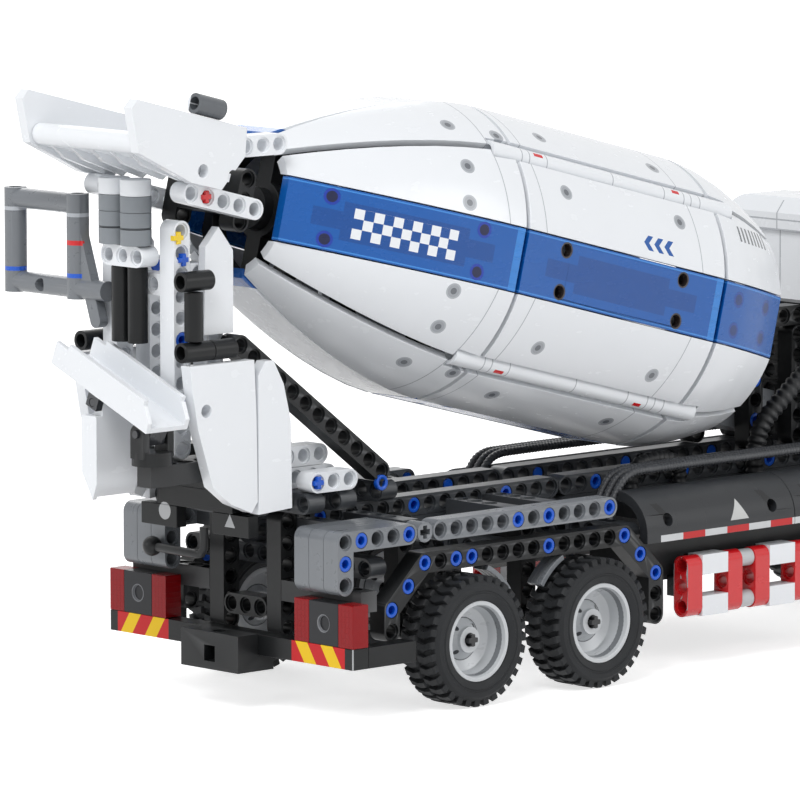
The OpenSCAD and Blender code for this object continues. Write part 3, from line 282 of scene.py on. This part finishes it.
def place_camera():
    """The photo's own view, solved from the rows of holes in the beams."""
    eye = Vector((-2.02088, -2.06640, 0.46120))
    azimuth, elevation, roll = (math.radians(a) for a in (-42.973, 7.145, -0.09))
    data = bpy.data.cameras.new("camera")
    data.sensor_width = 36
    data.lens = 337.5
    data.clip_start, data.clip_end = 0.1, 60
    back = Vector((math.sin(azimuth) * math.cos(elevation),
                   -math.cos(azimuth) * math.cos(elevation),
                   math.sin(elevation)))
    turn = (-back).to_track_quat("-Z", "Y").to_matrix() @ Matrix.Rotation(roll, 3, "Z")
    camera = add_object("camera", data)
    camera.matrix_world = Matrix.Translation(eye) @ turn.to_4x4()
    bpy.context.scene.camera = camera
    bpy.context.scene.view_settings.view_transform = "Standard"


def lamp(name, where, size, power):
    """A round lamp that faces the middle of the truck."""
    data = bpy.data.lights.new(name, "AREA")
    data.shape, data.size, data.energy = "DISK", size, power
    obj = add_object(name, data)
    middle = (cad_box[0] + cad_box[1]) / 2
    obj.location = Vector(where)
    obj.rotation_euler = (middle - Vector(where)).to_track_quat("-Z", "Y").to_euler()


def seen_rays(tree):
    """A mask of the rays that show a thing, straight, in a reflection or through a window."""
    path = tree.nodes.new("ShaderNodeLightPath")
    kinds = ("Is Camera Ray", "Is Glossy Ray", "Is Transmission Ray")
    return any_of(*(Num(tree, path.outputs[kind]) for kind in kinds))


def show_brighter(tree, plain, bright, output):
    """Lights the scene with the plain shader, and shows the bright one to the camera."""
    mix = tree.nodes.new("ShaderNodeMixShader")
    tree.links.new(seen_rays(tree).socket, mix.inputs[0])
    tree.links.new(plain.outputs[0], mix.inputs[1])
    tree.links.new(bright.outputs[0], mix.inputs[2])
    tree.links.new(mix.outputs[0], tree.nodes[output].inputs["Surface"])


def white_world():
    world = bpy.data.worlds.new("studio")
    world.use_nodes = True
    bpy.context.scene.world = world
    tree = world.node_tree
    light, seen = tree.nodes["Background"], tree.nodes.new("ShaderNodeBackground")
    for shader, strength in ((light, 0.42), (seen, 1.0)):
        shader.inputs["Color"].default_value = (1, 1, 1, 1)
        shader.inputs["Strength"].default_value = strength
    show_brighter(tree, light, seen, "World Output")


def white_floor():
    """A wide floor just under the tyres, which glows enough to look white in the picture."""
    half, drop = 14, 0.2 * MM
    mesh = bpy.data.meshes.new("floor")
    corners = ((-half, -half), (half, -half), (half, half), (-half, half))
    mesh.from_pydata([(x, y, -drop) for x, y in corners], [], [(0, 1, 2, 3)])
    mat = bpy.data.materials.new("floor")
    mat.use_nodes = True
    tree = mat.node_tree
    matt = tree.nodes["Principled BSDF"]
    matt.inputs["Base Color"].default_value = (0.86, 0.86, 0.86, 1)
    matt.inputs["Roughness"].default_value = 0.9
    glow = tree.nodes.new("ShaderNodeEmission")
    glow.inputs["Strength"].default_value = 0.66
    both = tree.nodes.new("ShaderNodeAddShader")
    tree.links.new(matt.outputs[0], both.inputs[0])
    tree.links.new(glow.outputs[0], both.inputs[1])
    show_brighter(tree, matt, both, "Material Output")
    mesh.materials.append(mat)
    return add_object("floor", mesh)


place_camera()
lamp("key", (-1.5, -0.7, 1.9), 1.3, 30)
lamp("side", (0.9, -2.0, 1.0), 1.4, 15)
lamp("rear", (-2.2, 0.9, 0.9), 1.0, 8)
lamp("far", (1.0, 1.9, 1.4), 1.6, 12)
white_world()
floor = white_floor()


# ---- finishes of the material slots ----

WHITE_LOOK = dict(colour=WHITE, rough=0.24, grain=0.12, drift=0.03)
BLACK_LOOK = dict(colour=BLACK, rough=0.34, grain=0.2, drift=0.1, shine=0.24)
GREY_LOOK = dict(colour=GREY, rough=0.3, grain=0.2, drift=0.06)
RED_LOOK = dict(colour=RED, rough=0.24, grain=0.15, drift=0.05, coat=0.2)

LOOKS = {
    "white_plastic": WHITE_LOOK,
    "black_plastic": dict(BLACK_LOOK, edge=0.06),
    "dark_grey_plastic": dict(colour=DARK, rough=0.34, grain=0.2, drift=0.08, edge=0.06, shine=0.4),
    "grey_plastic": dict(GREY_LOOK, edge=0.08),
    "silver_plastic": dict(colour=SILVER, rough=0.3, grain=0.12, drift=0.03, metallic=0.1),
    "blue_plastic": dict(colour=BLUE, rough=0.26, grain=0.12, drift=0.05, coat=0.1, shine=0.4),
    "blue_pin": dict(colour=PIN_BLUE, rough=0.28, grain=0.1, drift=0.05, shine=0.4),
    "red_plastic": RED_LOOK,
    "tyre_rubber": dict(colour=srgb(24, 25, 27), rough=0.6, grain=0.5, drift=0.15, edge=0.04,
                        shine=0.24),
    "hose_rubber": dict(colour=srgb(50, 52, 56), rough=0.4, grain=0.3, drift=0.1),
    "window": dict(colour=srgb(60, 78, 92), rough=0.06, grain=0.03, drift=0.0, coat=0.5),
    "lamp_red": dict(colour=srgb(132, 4, 12), rough=0.16, grain=0.1, drift=0.02, coat=0.2),
}
mats = {name: Finish(name, **look).done() for name, look in LOOKS.items()}


def dress(node, mat):
    slots = nodes[node].data.materials
    if not slots:
        slots.append(mat)
    for i in range(len(slots)):
        slots[i] = mat


for sub in frame["record"]["subparts"]:
    dress(sub["node"], mats[sub["material_slot"]])


# ---- markings and mixed colours on the frame's own nodes ----

SEAM_REAR, SEAM_FRONT = -0.0313, 0.0777     # the drum's seams, along its axis


def drum_flats():
    """Blue flat panels, with insets, a checker board and pin holes on the drum's sides, the holes' bores painted
    dark as shade.
    """
    f = Finish("drum_flats", BLUE, rough=0.26, grain=0.1, drift=0.05, coat=0.1, shine=0.4)
    band = abs(f.u).below(0.03)
    insets = ((-0.118, -0.045, 0.0034), (-0.107, -0.057, 0.0072),
              (-0.018, 0.064, 0.0034), (-0.002, 0.048, 0.0072))
    f.paint(any_of(*(f.s.inside(rear, front) * abs(f.u).below(half)
                     for rear, front, half in insets)), srgb(2, 72, 146))
    tabs = any_of(*(f.s.near(seam - 0.0022, 0.0022) for seam in (SEAM_REAR, SEAM_FRONT)))
    f.paint(tabs, srgb(46, 126, 206))
    f.relief(tabs * f.u.stripes(0.005, 0.0007).opposite(), 0.5)
    f.paint(any_of(*(f.s.near(seam, 0.0004) for seam in (SEAM_REAR, SEAM_FRONT))),
            srgb(6, 34, 78))
    f.paint(abs(f.u).near(0.0112, 0.00025) * band, srgb(60, 136, 214))

    square, rear, low = 0.00376, -0.10285, -0.0058
    column = (f.s - rear).stripes(2 * square, square)
    row = (f.u - low).stripes(2 * square, square)
    board = f.s.inside(rear, -0.0615) * f.u.inside(low, 0.0055)
    f.paint(board * abs(column - row).opposite(), WHITE)
    f.paint(band.opposite() * f.s.inside(SEAM_REAR, SEAM_FRONT).opposite(), WHITE)

    # Each kind of hole has a ring colour and a darker colour in its bore; the bore colour is painted shade, and so
    # is the darker blue ring of the empty holes
    pin = srgb(18, 54, 160), srgb(6, 16, 60)
    dark = srgb(52, 44, 42), srgb(20, 18, 18)
    empty = srgb(12, 66, 150), srgb(10, 48, 110)
    pits = []
    for s, u, (ring, shaded_bore) in ((-0.112, 0.008, pin), (-0.051, 0.008, pin), (-0.009, 0.008, dark),
                               (0.055, 0.008, dark), (0.088, 0.006, empty), (0.109, 0.006, empty)):
        away = distance(f.s - s, abs(f.u) - u)
        pits.append(away.below(0.0031) * band)
        f.paint(pits[-1], ring)
        f.paint(away.below(0.0021) * band, shaded_bore)
    f.relief(any_of(*pits).opposite(), 0.6)
    return f.done()


def drum_petals():
    """The white panels, with fixing holes painted grey as their shade, stepped seams, three arrows and a vent."""
    f = Finish("drum_petals", **WHITE_LOOK)
    pits = []
    for s, angle, r in ((-0.057, 34, 0.0545), (-0.0585, 18, 0.0543), (-0.036, 52, 0.0577),
                        (-0.057, 56, 0.0545), (-0.0083, 31, 0.058), (0.0542, 31, 0.058),
                        (-0.0083, 59, 0.058), (0.0542, 59, 0.058)):
        a = math.radians(angle)
        away = distance(f.s - s, abs(f.y) - r * math.cos(a), abs(f.u) - r * math.sin(a))
        # Painted shade: the recessed rim of each hole in seam grey, its floor greyer and its middle darker still
        f.paint(away.inside(0.0024, 0.0031), LINE)
        f.paint(away.below(0.0024), srgb(158, 162, 168))
        f.paint(away.below(0.0013), srgb(104, 108, 114))
        pits.append(away.below(0.0027))
    f.relief(any_of(*pits).opposite(), 0.7)
    slanted = f.s + abs(f.u) * 0.12
    for seam in (-0.0385, -0.0195, 0.0662):
        f.paint(slanted.near(seam, 0.00022), LINE)
        f.relief(slanted.above(seam), 0.35)
    arrows = (f.s - 0.032 - abs(f.u - 0.0186) * 0.9).stripes(0.0056, 0.0028)
    f.paint(arrows * f.s.inside(0.0318, 0.0488) * f.u.inside(0.0158, 0.0214), srgb(20, 84, 160))
    slits = f.s.stripes(0.003, 0.0013)
    vent = slits * f.s.inside(0.0895, 0.1125) * f.u.inside(0.0288, 0.0345)
    f.paint(vent, srgb(96, 100, 106))
    f.relief(vent.opposite(), 0.5)
    return f.done()


def rods():
    """White rods made of pieces, with raised collars and red marks on their outer side."""
    f = Finish("rod_white", **WHITE_LOOK)
    for s in (-0.0275, -0.0235, -0.014, 0.022, 0.0505, 0.0615, 0.0655, 0.0705):
        f.paint(f.s.near(s, 0.00025), LINE)
    f.relief(any_of(f.s.inside(-0.0275, -0.0235), f.s.inside(0.0615, 0.0655)), 0.5)
    marks = any_of(f.s.near(-0.0185, 0.0024), f.s.near(0.057, 0.002))
    outside = (abs(f.y) + abs(f.u)).above(0.0805) * abs(abs(f.y) - abs(f.u)).below(0.0012)
    f.paint(marks * outside, RED)
    return f.done()


def lamps():
    """Red lenses with a square pattern, and a dark lamp with a ring in the middle of each."""
    f = Finish("tail_lamps", srgb(138, 4, 12), rough=0.22, grain=0.1, drift=0.02, shine=0.2)
    centre = abs(f.y).inside(0.04405, 0.05995)
    f.paint(centre, srgb(38, 39, 42))
    away = distance(abs(f.y) - 0.052, f.z - 0.0366)
    f.paint(away.inside(0.0028, 0.0034) * centre, srgb(120, 122, 126))
    f.relief(away.inside(0.0027, 0.0036) * centre, 0.4)
    cells = any_of(f.y.stripes(0.002, 0.0003), f.z.stripes(0.002, 0.0003))
    f.relief(cells * centre.opposite(), 0.25)
    return f.done()


def bumper_bar():
    """Red and yellow slanted stripes on the rear of the end plates, and pale outer ends."""
    f = Finish("bumper_bar", **BLACK_LOOK)
    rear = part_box("bumper")[0].x
    plate = abs(f.y).inside(0.0345, 0.0636) * f.x.below(rear + 0.00015)
    stripes = (abs(f.y) + f.z * 0.65 - 0.055).stripes(0.0138, 0.0066)
    f.paint(plate, srgb(196, 16, 24))
    f.paint(plate * stripes, srgb(238, 196, 14))
    f.paint(abs(f.y).above(0.0676) * f.x.below(rear + 0.0004), srgb(176, 178, 180))
    return f.done()


def plates():
    """A red and pale strip on the upper plate. The lower has a blank raised number plate, and
    a round and a triangular sticker, also blank, under it."""
    f = Finish("rear_plates", **BLACK_LOOK)
    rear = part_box("rear_plates")[0].x
    strip_half = 0.0275
    strip = f.z.inside(0.0869, 0.0897) * f.x.below(rear + 0.0006) * abs(f.y).below(strip_half)
    f.paint(strip, srgb(196, 26, 30))
    f.paint(strip * (f.y + strip_half).stripes(0.0184, 0.0062), PALE)
    lower = f.x.below(rear + 0.001) * f.z.below(0.0856)
    disc = distance(f.y - 0.0167, f.z - 0.0732).below(0.0033)
    rise = f.z - 0.0706
    wedge = rise.above(0.0) * (rise + abs(f.y + 0.0197) * 1.7).below(0.0049)
    f.paint(lower * any_of(disc, wedge), srgb(188, 190, 192))
    f.relief(abs(f.y).below(0.0196) * f.z.inside(0.0771, 0.0838) * lower, 0.4)
    return f.done()


def tanks():
    """Slanted slots painted dark as shade, upright seams, a red and pale band and a blank triangle."""
    f = Finish("tank_panels", srgb(36, 38, 41), rough=0.36, grain=0.3, drift=0.08, shine=0.36)
    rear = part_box("tank_panels")[0].x
    along = (f.x - rear + (f.z - 0.0591) * 0.75).wrap(0.0809)
    slots = any_of(along.near(0.012, 0.0019), along.near(0.0689, 0.0019))
    slots = slots * f.z.inside(0.0585, 0.0652)
    # Painted shade: the recessed slots are darker than the panel
    f.paint(slots, srgb(16, 17, 19))
    f.relief(slots.opposite(), 0.9)
    seams = abs((f.x - rear).wrap(0.0162) - 0.0081).above(0.0079)
    f.relief(seams.opposite(), 0.25)
    band_rear = -0.0155
    band = abs(f.y).above(0.0585) * f.z.inside(0.0509, 0.0535) * f.x.above(band_rear)
    f.paint(band, srgb(190, 30, 32))
    f.paint(band * (f.x - band_rear).stripes(0.024, 0.012), PALE)
    rise = f.z - 0.0556
    wedge = rise.above(0.0) * (rise + abs(f.x - 0.0275) * 1.55).below(0.0078)
    f.paint(wedge * abs(f.y).above(0.054), srgb(196, 197, 196))
    return f.done()


def guards():
    """Pairs of red posts with white bars between them, silver from pair to pair, black behind."""
    f = Finish("side_guards", **RED_LOOK)
    bay = (f.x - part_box("side_guards")[0].x).wrap(0.037)
    f.paint(bay.inside(0.00784, 0.02196), WHITE)
    f.paint(bay.above(0.02984), SILVER)
    f.paint(abs(f.y).below(0.0521), BLACK)
    return f.done()


def pipes():
    """Black pipes with grey upper ends, a dark ring round them and white tops."""
    f = Finish("tower_pipes", **BLACK_LOOK)
    f.paint(f.z.above(0.1764), srgb(132, 137, 142))
    f.paint(f.z.above(0.19485), WHITE)
    f.paint(f.z.inside(0.1825, 0.1833), srgb(70, 73, 77))
    return f.done()


def links():
    """White links with a ribbed grey clip on the right."""
    f = Finish("hopper_links", **WHITE_LOOK)
    clip = f.y.below(-0.02796)
    f.paint(clip, srgb(88, 92, 97))
    f.relief(clip * f.x.stripes(0.003, 0.0008), 0.4)
    return f.done()


def trough():
    """The white chute, with painted shade underneath its sloping floor."""
    f = Finish("chute_trough", **WHITE_LOOK)
    lean = math.radians(22)
    hinge = Vector(joints["chute_tilt"]["pos_m"])
    above_hinge = (f.z - hinge.z) * math.cos(lean) - (f.y - hinge.y) * math.sin(lean)
    # Painted shade: below the chute's floor the white is painted dark grey
    f.paint(above_hinge.below(0.00395), srgb(48, 50, 54))
    f.relief(f.x.stripes(0.005, 0.0004).opposite(), 0.15)
    return f.done()


def ladder():
    """Raised rings round the grey posts, the lower one blue, and a small red mark."""
    f = Finish("ladder_rail", **GREY_LOOK)
    post = f.y.above(0.0245)
    low_ring, high_ring = 0.1628, 0.1853
    for z in (low_ring, high_ring):
        f.paint(f.z.near(z, 0.0007) * post, LINE)
        f.relief(f.z.near(z, 0.0011) * post, 0.4)
    f.paint(f.z.near(low_ring, 0.0008) * post, PIN_BLUE)
    f.paint(f.z.near(0.1750, 0.0009) * f.y.near(0.029, 0.005) * f.x.below(-0.232), RED)
    return f.done()


def tower_feet():
    """Black, with white front ends."""
    f = Finish("tower_base", **BLACK_LOOK)
    f.paint(f.x.above(-0.1752), WHITE)
    return f.done()


def wheel_centre(name, joint):
    """A silver wheel centre with two rings, and painted shade in its four recessed dots and its axle hole."""
    f = Finish(name, srgb(196, 199, 202), rough=0.3, grain=0.12, drift=0.03, metallic=0.05)
    hub = Vector(joints[joint]["pos_m"])
    away = distance(f.x - hub.x, f.z - hub.z)
    f.paint(away.inside(0.0128, 0.01325), srgb(120, 123, 127))
    f.paint(away.inside(0.0078, 0.0082), srgb(104, 107, 111))
    dots = distance(abs(f.x - hub.x) - 0.0045, abs(f.z - hub.z) - 0.0045)
    # Painted shade in the four recessed dots
    f.paint(dots.below(0.0009), srgb(60, 62, 66))
    f.relief(dots.below(0.0011).opposite(), 0.4)
    # Painted shade: the axle hole painted near black
    f.paint(away.below(0.0026), srgb(30, 31, 33))
    return f.done()


def cab_white(name):
    """White cab walls with level seams, and two upright ones on the rear wall."""
    f = Finish(name, **WHITE_LOOK)
    half = 0.0003
    upright = abs(f.y).near(0.0292, half) * f.x.below(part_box("cab_shell")[0].x + 0.002)
    seams = any_of(upright, *(f.z.near(z, half) for z in (0.0735, 0.0895, 0.1535, 0.1575)))
    f.paint(seams, LINE)
    f.relief(seams.opposite(), 0.5)
    return f.done()


def cab_face():
    """The dark front with clear ribbed headlamps, black above them."""
    f = Finish("cab_front", srgb(48, 50, 54), rough=0.3, grain=0.2, drift=0.08)
    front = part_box("cab_front")[1].x - 0.0021
    headlamps = abs(f.y).inside(0.0321, 0.0519) * f.z.inside(0.0489, 0.0607) * f.x.above(front)
    f.paint(headlamps, srgb(222, 228, 232))
    f.relief(headlamps * f.y.stripes(0.0025, 0.0004), 0.3)
    f.paint(f.z.above(0.082), BLACK)
    return f.done()


dress("drum_flat_panels", drum_flats())
for name in ("drum_rear_panels", "drum_mid_panels", "drum_front_panels"):
    dress(name, drum_petals())
dress("drum_rods", rods())
dress("tail_lamps", lamps())
dress("bumper", bumper_bar())
dress("rear_plates", plates())
dress("tank_panels", tanks())
dress("side_guards", guards())
dress("tower_pipes", pipes())
dress("hopper_links", links())
dress("chute_trough", trough())
dress("ladder_rail", ladder())
dress("tower_base", tower_feet())
dress("rear_axle_1", wheel_centre("rim_1", "rear_axle_1_spin"))
dress("rear_axle_2", wheel_centre("rim_2", "rear_axle_2_spin"))
for name in ("cab_shell", "cab_roof"):
    dress(name, cab_white(name))
dress("cab_front", cab_face())


# ---- visual pieces, in millimetres ----

class Shape:
    """Collects the faces of one piece."""

    def __init__(self):
        self.verts, self.faces = [], []

    def loft(self, loops, closed=False):
        """Skins a row of loops, and caps its ends unless the row is closed."""
        start, n, rows = len(self.verts), len(loops[0]), len(loops)
        for loop in loops:
            self.verts += [tuple(v) for v in loop]
        for i in range(rows if closed else rows - 1):
            a, b = start + i * n, start + (i + 1) % rows * n
            self.faces += [(a + k, a + (k + 1) % n, b + (k + 1) % n, b + k) for k in range(n)]
        if not closed:
            self.faces.append(tuple(range(start + n - 1, start - 1, -1)))
            self.faces.append(tuple(range(start + (rows - 1) * n, start + rows * n)))

    def revolve(self, centre, side, profile, turns):
        """Turns an outline of radii and distances outwards round the Y axis."""
        x, y, z = centre
        self.loft([[(x + r * math.cos(a), y + out * side, z + r * math.sin(a))
                    for r, out in profile]
                   for a in (2 * math.pi * i / turns for i in range(turns))], closed=True)

    def tube(self, path, radius, sides=14):
        """Radius is a number, or a function of the distance along the path."""
        path = [Vector(p) for p in path]
        loops, run = [], 0.0
        across = None
        for i, p in enumerate(path):
            along = (path[min(i + 1, len(path) - 1)] - path[max(i - 1, 0)]).normalized()
            if across is None:
                across = along.cross(Vector((0.1, 1, 0.05))).normalized()
            across = (across - along * across.dot(along)).normalized()
            other = along.cross(across)
            if i:
                run += (p - path[i - 1]).length
            r = radius(run) if callable(radius) else radius
            loops.append([p + r * (math.cos(a) * across + math.sin(a) * other)
                          for a in (2 * math.pi * k / sides for k in range(sides))])
        self.loft(loops)

    def make(self, name, mat, body, slot, sharp=35):
        """Makes the object, with its edges sharp above an angle in degrees."""
        mesh = bpy.data.meshes.new(name)
        mesh.from_pydata([tuple(c * MM for c in v) for v in self.verts], [], self.faces)
        mesh.update()
        for p in mesh.polygons:
            p.use_smooth = True
        mesh.set_sharp_from_angle(angle=math.radians(sharp))
        mesh.materials.append(mat)
        obj = add_object(name, mesh)
        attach(obj, body)
        return obj


# ---- wheels ----

HUB_Z = joints["rear_axle_1_spin"]["pos_m"][2] / MM
TYRE_R = HUB_Z                  # the tyres stand on the ground
TYRE_W = 20
TYRE_INNER_Y, RIM_INNER_Y = 49.5, 51.0
TYRE_PROFILE = [(15.35, 1.4), (16.4, 0.9), (18.0, 0.5), (18.3, 0.8), (18.9, 0.8), (19.2, 0.5),
                (21.0, 0.6), (22.5, 1.8), (23.0, 3.2), (23.0, 16.8), (22.5, 18.2), (21.0, 19.4),
                (19.2, 19.5), (18.9, 19.2), (18.3, 19.2), (18.0, 19.5), (16.4, 19.1),
                (15.35, 18.6)]
BLOCK_OUTLINE = [(0.0, 1.5), (2.9, 1.5), (3.6, 3.8), (4.5, 6.0), (3.7, 9.5), (0.8, 9.5),
                 (1.6, 6.0), (0.7, 3.8)]     # distance round the tyre, distance across it
BLOCK_MIDDLE, BLOCK_HALF = (2.2, 5.1), (2.4, 5.2)
# Radius, how far the block narrows, and how far its shoulder is drawn in.
BLOCK_LEVELS = ((22.2, 0.0, 0.0), (24.3, 0.1, 0.0), (24.78, 0.35, 0.5))
SHOULDER = 2.2
BLOCKS = 32
RIM_PROFILE = [(2.4, 2.0), (2.4, 12.0), (5.0, 12.0), (5.0, 10.5), (8.0, 7.5), (8.3, 7.9),
               (8.9, 7.9), (9.2, 7.6), (12.0, 9.0), (12.6, 13.0), (13.2, 16.6), (13.6, 17.0),
               (15.2, 17.0), (15.2, 0.0), (13.2, 0.0), (12.6, 6.0), (8.0, 5.0), (5.5, 2.0)]
SIDES = ((1, "left"), (-1, "right"))


def joint_x(name):
    return joints[name]["pos_m"][0] / MM


def tread_block(x, side, row, base):
    """The levels of one slanted block, from its foot to its bevelled top."""
    levels = []
    for r, narrower, drawn_in in BLOCK_LEVELS:
        level = []
        for point in BLOCK_OUTLINE:
            t, w = (middle + (v - middle) * (1 - narrower / half)
                    for v, middle, half in zip(point, BLOCK_MIDDLE, BLOCK_HALF))
            if w < SHOULDER:
                w += drawn_in
            if row:
                w = TYRE_W - w
            a = base + t / TYRE_R
            level.append((x + r * math.cos(a), (TYRE_INNER_Y + w) * side,
                          HUB_Z + r * math.sin(a)))
        levels.append(level)
    return levels


def tyre(name, x, side, body):
    """A carcass with two rows of slanted tread blocks."""
    shape = Shape()
    shape.revolve((x, TYRE_INNER_Y * side, HUB_Z), side, TYRE_PROFILE, 96)
    for row in (0, 1):
        for i in range(BLOCKS):
            shape.loft(tread_block(x, side, row, 2 * math.pi * (i + 0.5 * row) / BLOCKS))
    return shape.make(name, mats["tyre_rubber"], body, "tyre_rubber", 28)


def rim(name, x, side, body, mat):
    """The stepped rim that carries a front tyre, with six studs round its middle."""
    studs, stud_ring = 6, 6.5
    shape = Shape()
    shape.revolve((x, RIM_INNER_Y * side, HUB_Z), side, RIM_PROFILE, 72)
    for a in (2 * math.pi * i / studs for i in range(studs)):
        stud_x, stud_z = x + stud_ring * math.cos(a), HUB_Z + stud_ring * math.sin(a)
        shape.loft([[(stud_x + r * math.cos(b), (RIM_INNER_Y + w) * side,
                      stud_z + r * math.sin(b)) for b in (math.pi * k / 3 for k in range(6))]
                    for w, r in ((8.0, 0.95), (10.4, 0.95), (10.7, 0.7))])
    return shape.make(name, mat, body, "silver_plastic", 30)


for axle, body in ((1, "rear_axle_front_pair"), (2, "rear_axle_rear_pair")):
    for side, word in SIDES:
        x = joint_x(f"rear_axle_{axle}_spin")
        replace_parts(tyre(f"tyre_{axle}_{word}", x, side, body), f"rear_tyres_{axle}")

rim_mat = wheel_centre("front_rim", "wheel_left_spin")
for side, word in SIDES:
    node, body, x = "front_wheel_" + word, "wheel_" + word, joint_x(f"wheel_{word}_spin")
    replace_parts(tyre("front_tyre_" + word, x, side, body), node)
    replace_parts(rim("front_rim_" + word, x, side, body, rim_mat), node)


# ---- hoses ----

def smooth_path(points, per_mm):
    """The same curve as the frame's hoses, sampled evenly enough for ribs."""
    out, n = [], len(points) - 1
    points = [Vector(p) for p in points]
    for i in range(n):
        a, b = points[max(i - 1, 0)], points[i]
        c, d = points[i + 1], points[min(i + 2, n)]
        steps = max(2, int((c - b).length * per_mm))
        for k in range(steps):
            f = k / steps
            out.append(0.5 * (2 * b + (c - a) * f + (2 * a - 5 * b + 4 * c - d) * f * f
                              + (3 * b - a - 3 * c + d) * f ** 3))
    return out + [points[-1]]


def corrugated(name, paths, outer, inner, pitch, node, mat):
    """Hoses whose radius swells from inner to outer once in each pitch."""
    def radius(run):
        return inner + (outer - inner) * (0.5 + 0.5 * math.sin(2 * math.pi * run / pitch)) ** 0.6

    shape = Shape()
    for path in paths:
        shape.tube(smooth_path(path, 5.0 / pitch), radius, 12)
    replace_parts(shape.make(name, mat, "truck", "hose_rubber", 70), node)


def long_hose_foot():
    """Where the long hose's foot stands along the truck, taken from the frame's own hose."""
    foot_top, loop_front = 0.0675, 0.04
    foot = [v.co.x / MM for v in nodes["pedestal_hoses"].data.vertices
            if v.co.z < foot_top and v.co.x > loop_front]
    return (min(foot) + max(foot)) / 2


black_hose = Finish("black_hose", srgb(20, 21, 23), rough=0.42, grain=0.3, drift=0.1,
                    shine=0.35).done()
x0 = long_hose_foot()
corrugated("pedestal_hose_long", [
    [(x0, -24.2, 65.9), (x0 + 0.5, -24.2, 75.9), (x0 + 4, -25.2, 85.9), (x0 + 14, -29.2, 97.9),
     (x0 + 27, -32.3, 109.9), (x0 + 40, -32.3, 118.9), (x0 + 54, -32.3, 125.9),
     (133, -32.3, 128.9), (140.3, -32.3, 129.3)]],
    3.95, 3.1, 3.0, "pedestal_hoses", black_hose)
corrugated("pedestal_hose_loop", [
    [(4.6, -23.4, 65.9), (5.6, -23.4, 71.9), (11.4, -23.4, 75.9), (24.4, -23.4, 75.9),
     (30.4, -23.4, 71.9), (31.2, -23.4, 65.9)]],
    3.15, 2.5, 2.6, "pedestal_hoses", black_hose)
corrugated("tank_hoses_ribbed", [
    [(-23.8, side * y, 58.3), (-23.4, side * y, 63.2), (-20.8, side * y, 69.1),
     (-13.8, side * y, 75.1), (2.2, side * y, 76.1), (58.4, side * y, 76.1),
     (140.6, side * y, 76.1)]
    for side in (1, -1) for y in (41.2, 37.4, 33.6)],
    1.68, 1.35, 1.7, "tank_hoses", mats["hose_rubber"])


# ---- ends of axles and pins ----

def cross_end(shape, x, y, z, side):
    """The crossed end of an axle, facing outwards."""
    reach, arm = 2.3, 0.9
    cross = [(reach, arm), (arm, arm), (arm, reach), (-arm, reach), (-arm, arm), (-reach, arm),
             (-reach, -arm), (-arm, -arm), (-arm, -reach), (arm, -reach), (arm, -arm),
             (reach, -arm)]
    shape.loft([[(x + a * k, y + side * out, z + b * k) for a, b in cross]
                for out, k in ((-1.5, 1.0), (0.5, 1.0), (0.8, 0.86))])


def pin_end(shape, x, y, z, side):
    """The collar of a round pin, facing outwards."""
    profile = [(1.6, -1.2), (1.6, 0.25), (2.0, 0.45), (2.7, 0.45), (2.95, 0.2), (2.95, -1.2)]
    shape.revolve((x, y, z), side, profile, 24)


yellow, blue, red = Shape(), Shape(), Shape()
for side in (1, -1):
    cross_end(yellow, -224.9, 20 * side, 179.7, side)
    cross_end(yellow, -209.3, 20 * side, 176.0, side)
    cross_end(blue, -222.5, 20 * side, 171.5, side)
    cross_end(blue, -170.6, 36 * side, 86.0, side)
    pin_end(blue, -131.1, 27.9 * side, 81.6, side)
    cross_end(red, -218.3, 28 * side, 194.9, side)
yellow_mat = Finish("yellow_plastic", YELLOW, rough=0.26, grain=0.15, drift=0.05, coat=0.2).done()
yellow.make("yellow_axle_ends", yellow_mat, "truck", "blue_pin")
blue.make("blue_axle_ends", mats["blue_pin"], "truck", "blue_pin")
red.make("red_axle_ends", mats["red_plastic"], "truck", "red_plastic")


# ---- crank lever ----

def crank_lever():
    """A bent rod at the left of the rear, with a ball on its end."""
    x, ball_r, steps = -187, 3.8, 12
    shape = Shape()
    shape.tube([(x, 9.4, 66.5), (x, 9.4, 58.5), (x, 11.0, 56.2), (x, 14.5, 55.8),
                (x, 36, 56.2)], 1.7)
    across_ball = [(x, 35.0 + 2 * ball_r * k / steps, 56.3) for k in range(steps + 1)]
    shape.tube(across_ball, lambda run: max(0.25, math.sqrt(max(
        0.0, ball_r ** 2 - (run - ball_r) ** 2))), 20)
    shape.make("crank_lever", mats["black_plastic"], "truck", "black_plastic", 50)


crank_lever()


# ---- moulded edges on the frame's own nodes ----

CURVED = ("drum_rear_panels", "drum_mid_panels", "drum_front_panels", "drum_flat_panels",
          "cab_roof", "tank_panels", "drum_rods")


def soften(node):
    """Small rounded edges, as moulded parts have."""
    obj = nodes[node]
    weld = obj.modifiers.new("weld", "WELD")
    weld.merge_threshold = 0.004 * MM
    if node not in CURVED:
        flat = obj.modifiers.new("flat", "DECIMATE")
        flat.decimate_type = "DISSOLVE"
        flat.angle_limit = math.radians(0.5)
    edge = obj.modifiers.new("edge", "BEVEL")
    edge.width = 0.22 * MM
    edge.segments = 2
    edge.limit_method = "ANGLE"
    edge.angle_limit = math.radians(38)
    edge.harden_normals = False
    edge.use_clamp_overlap = True
    even = obj.modifiers.new("even", "WEIGHTED_NORMAL")
    even.weight = 80


for name in nodes:
    soften(name)
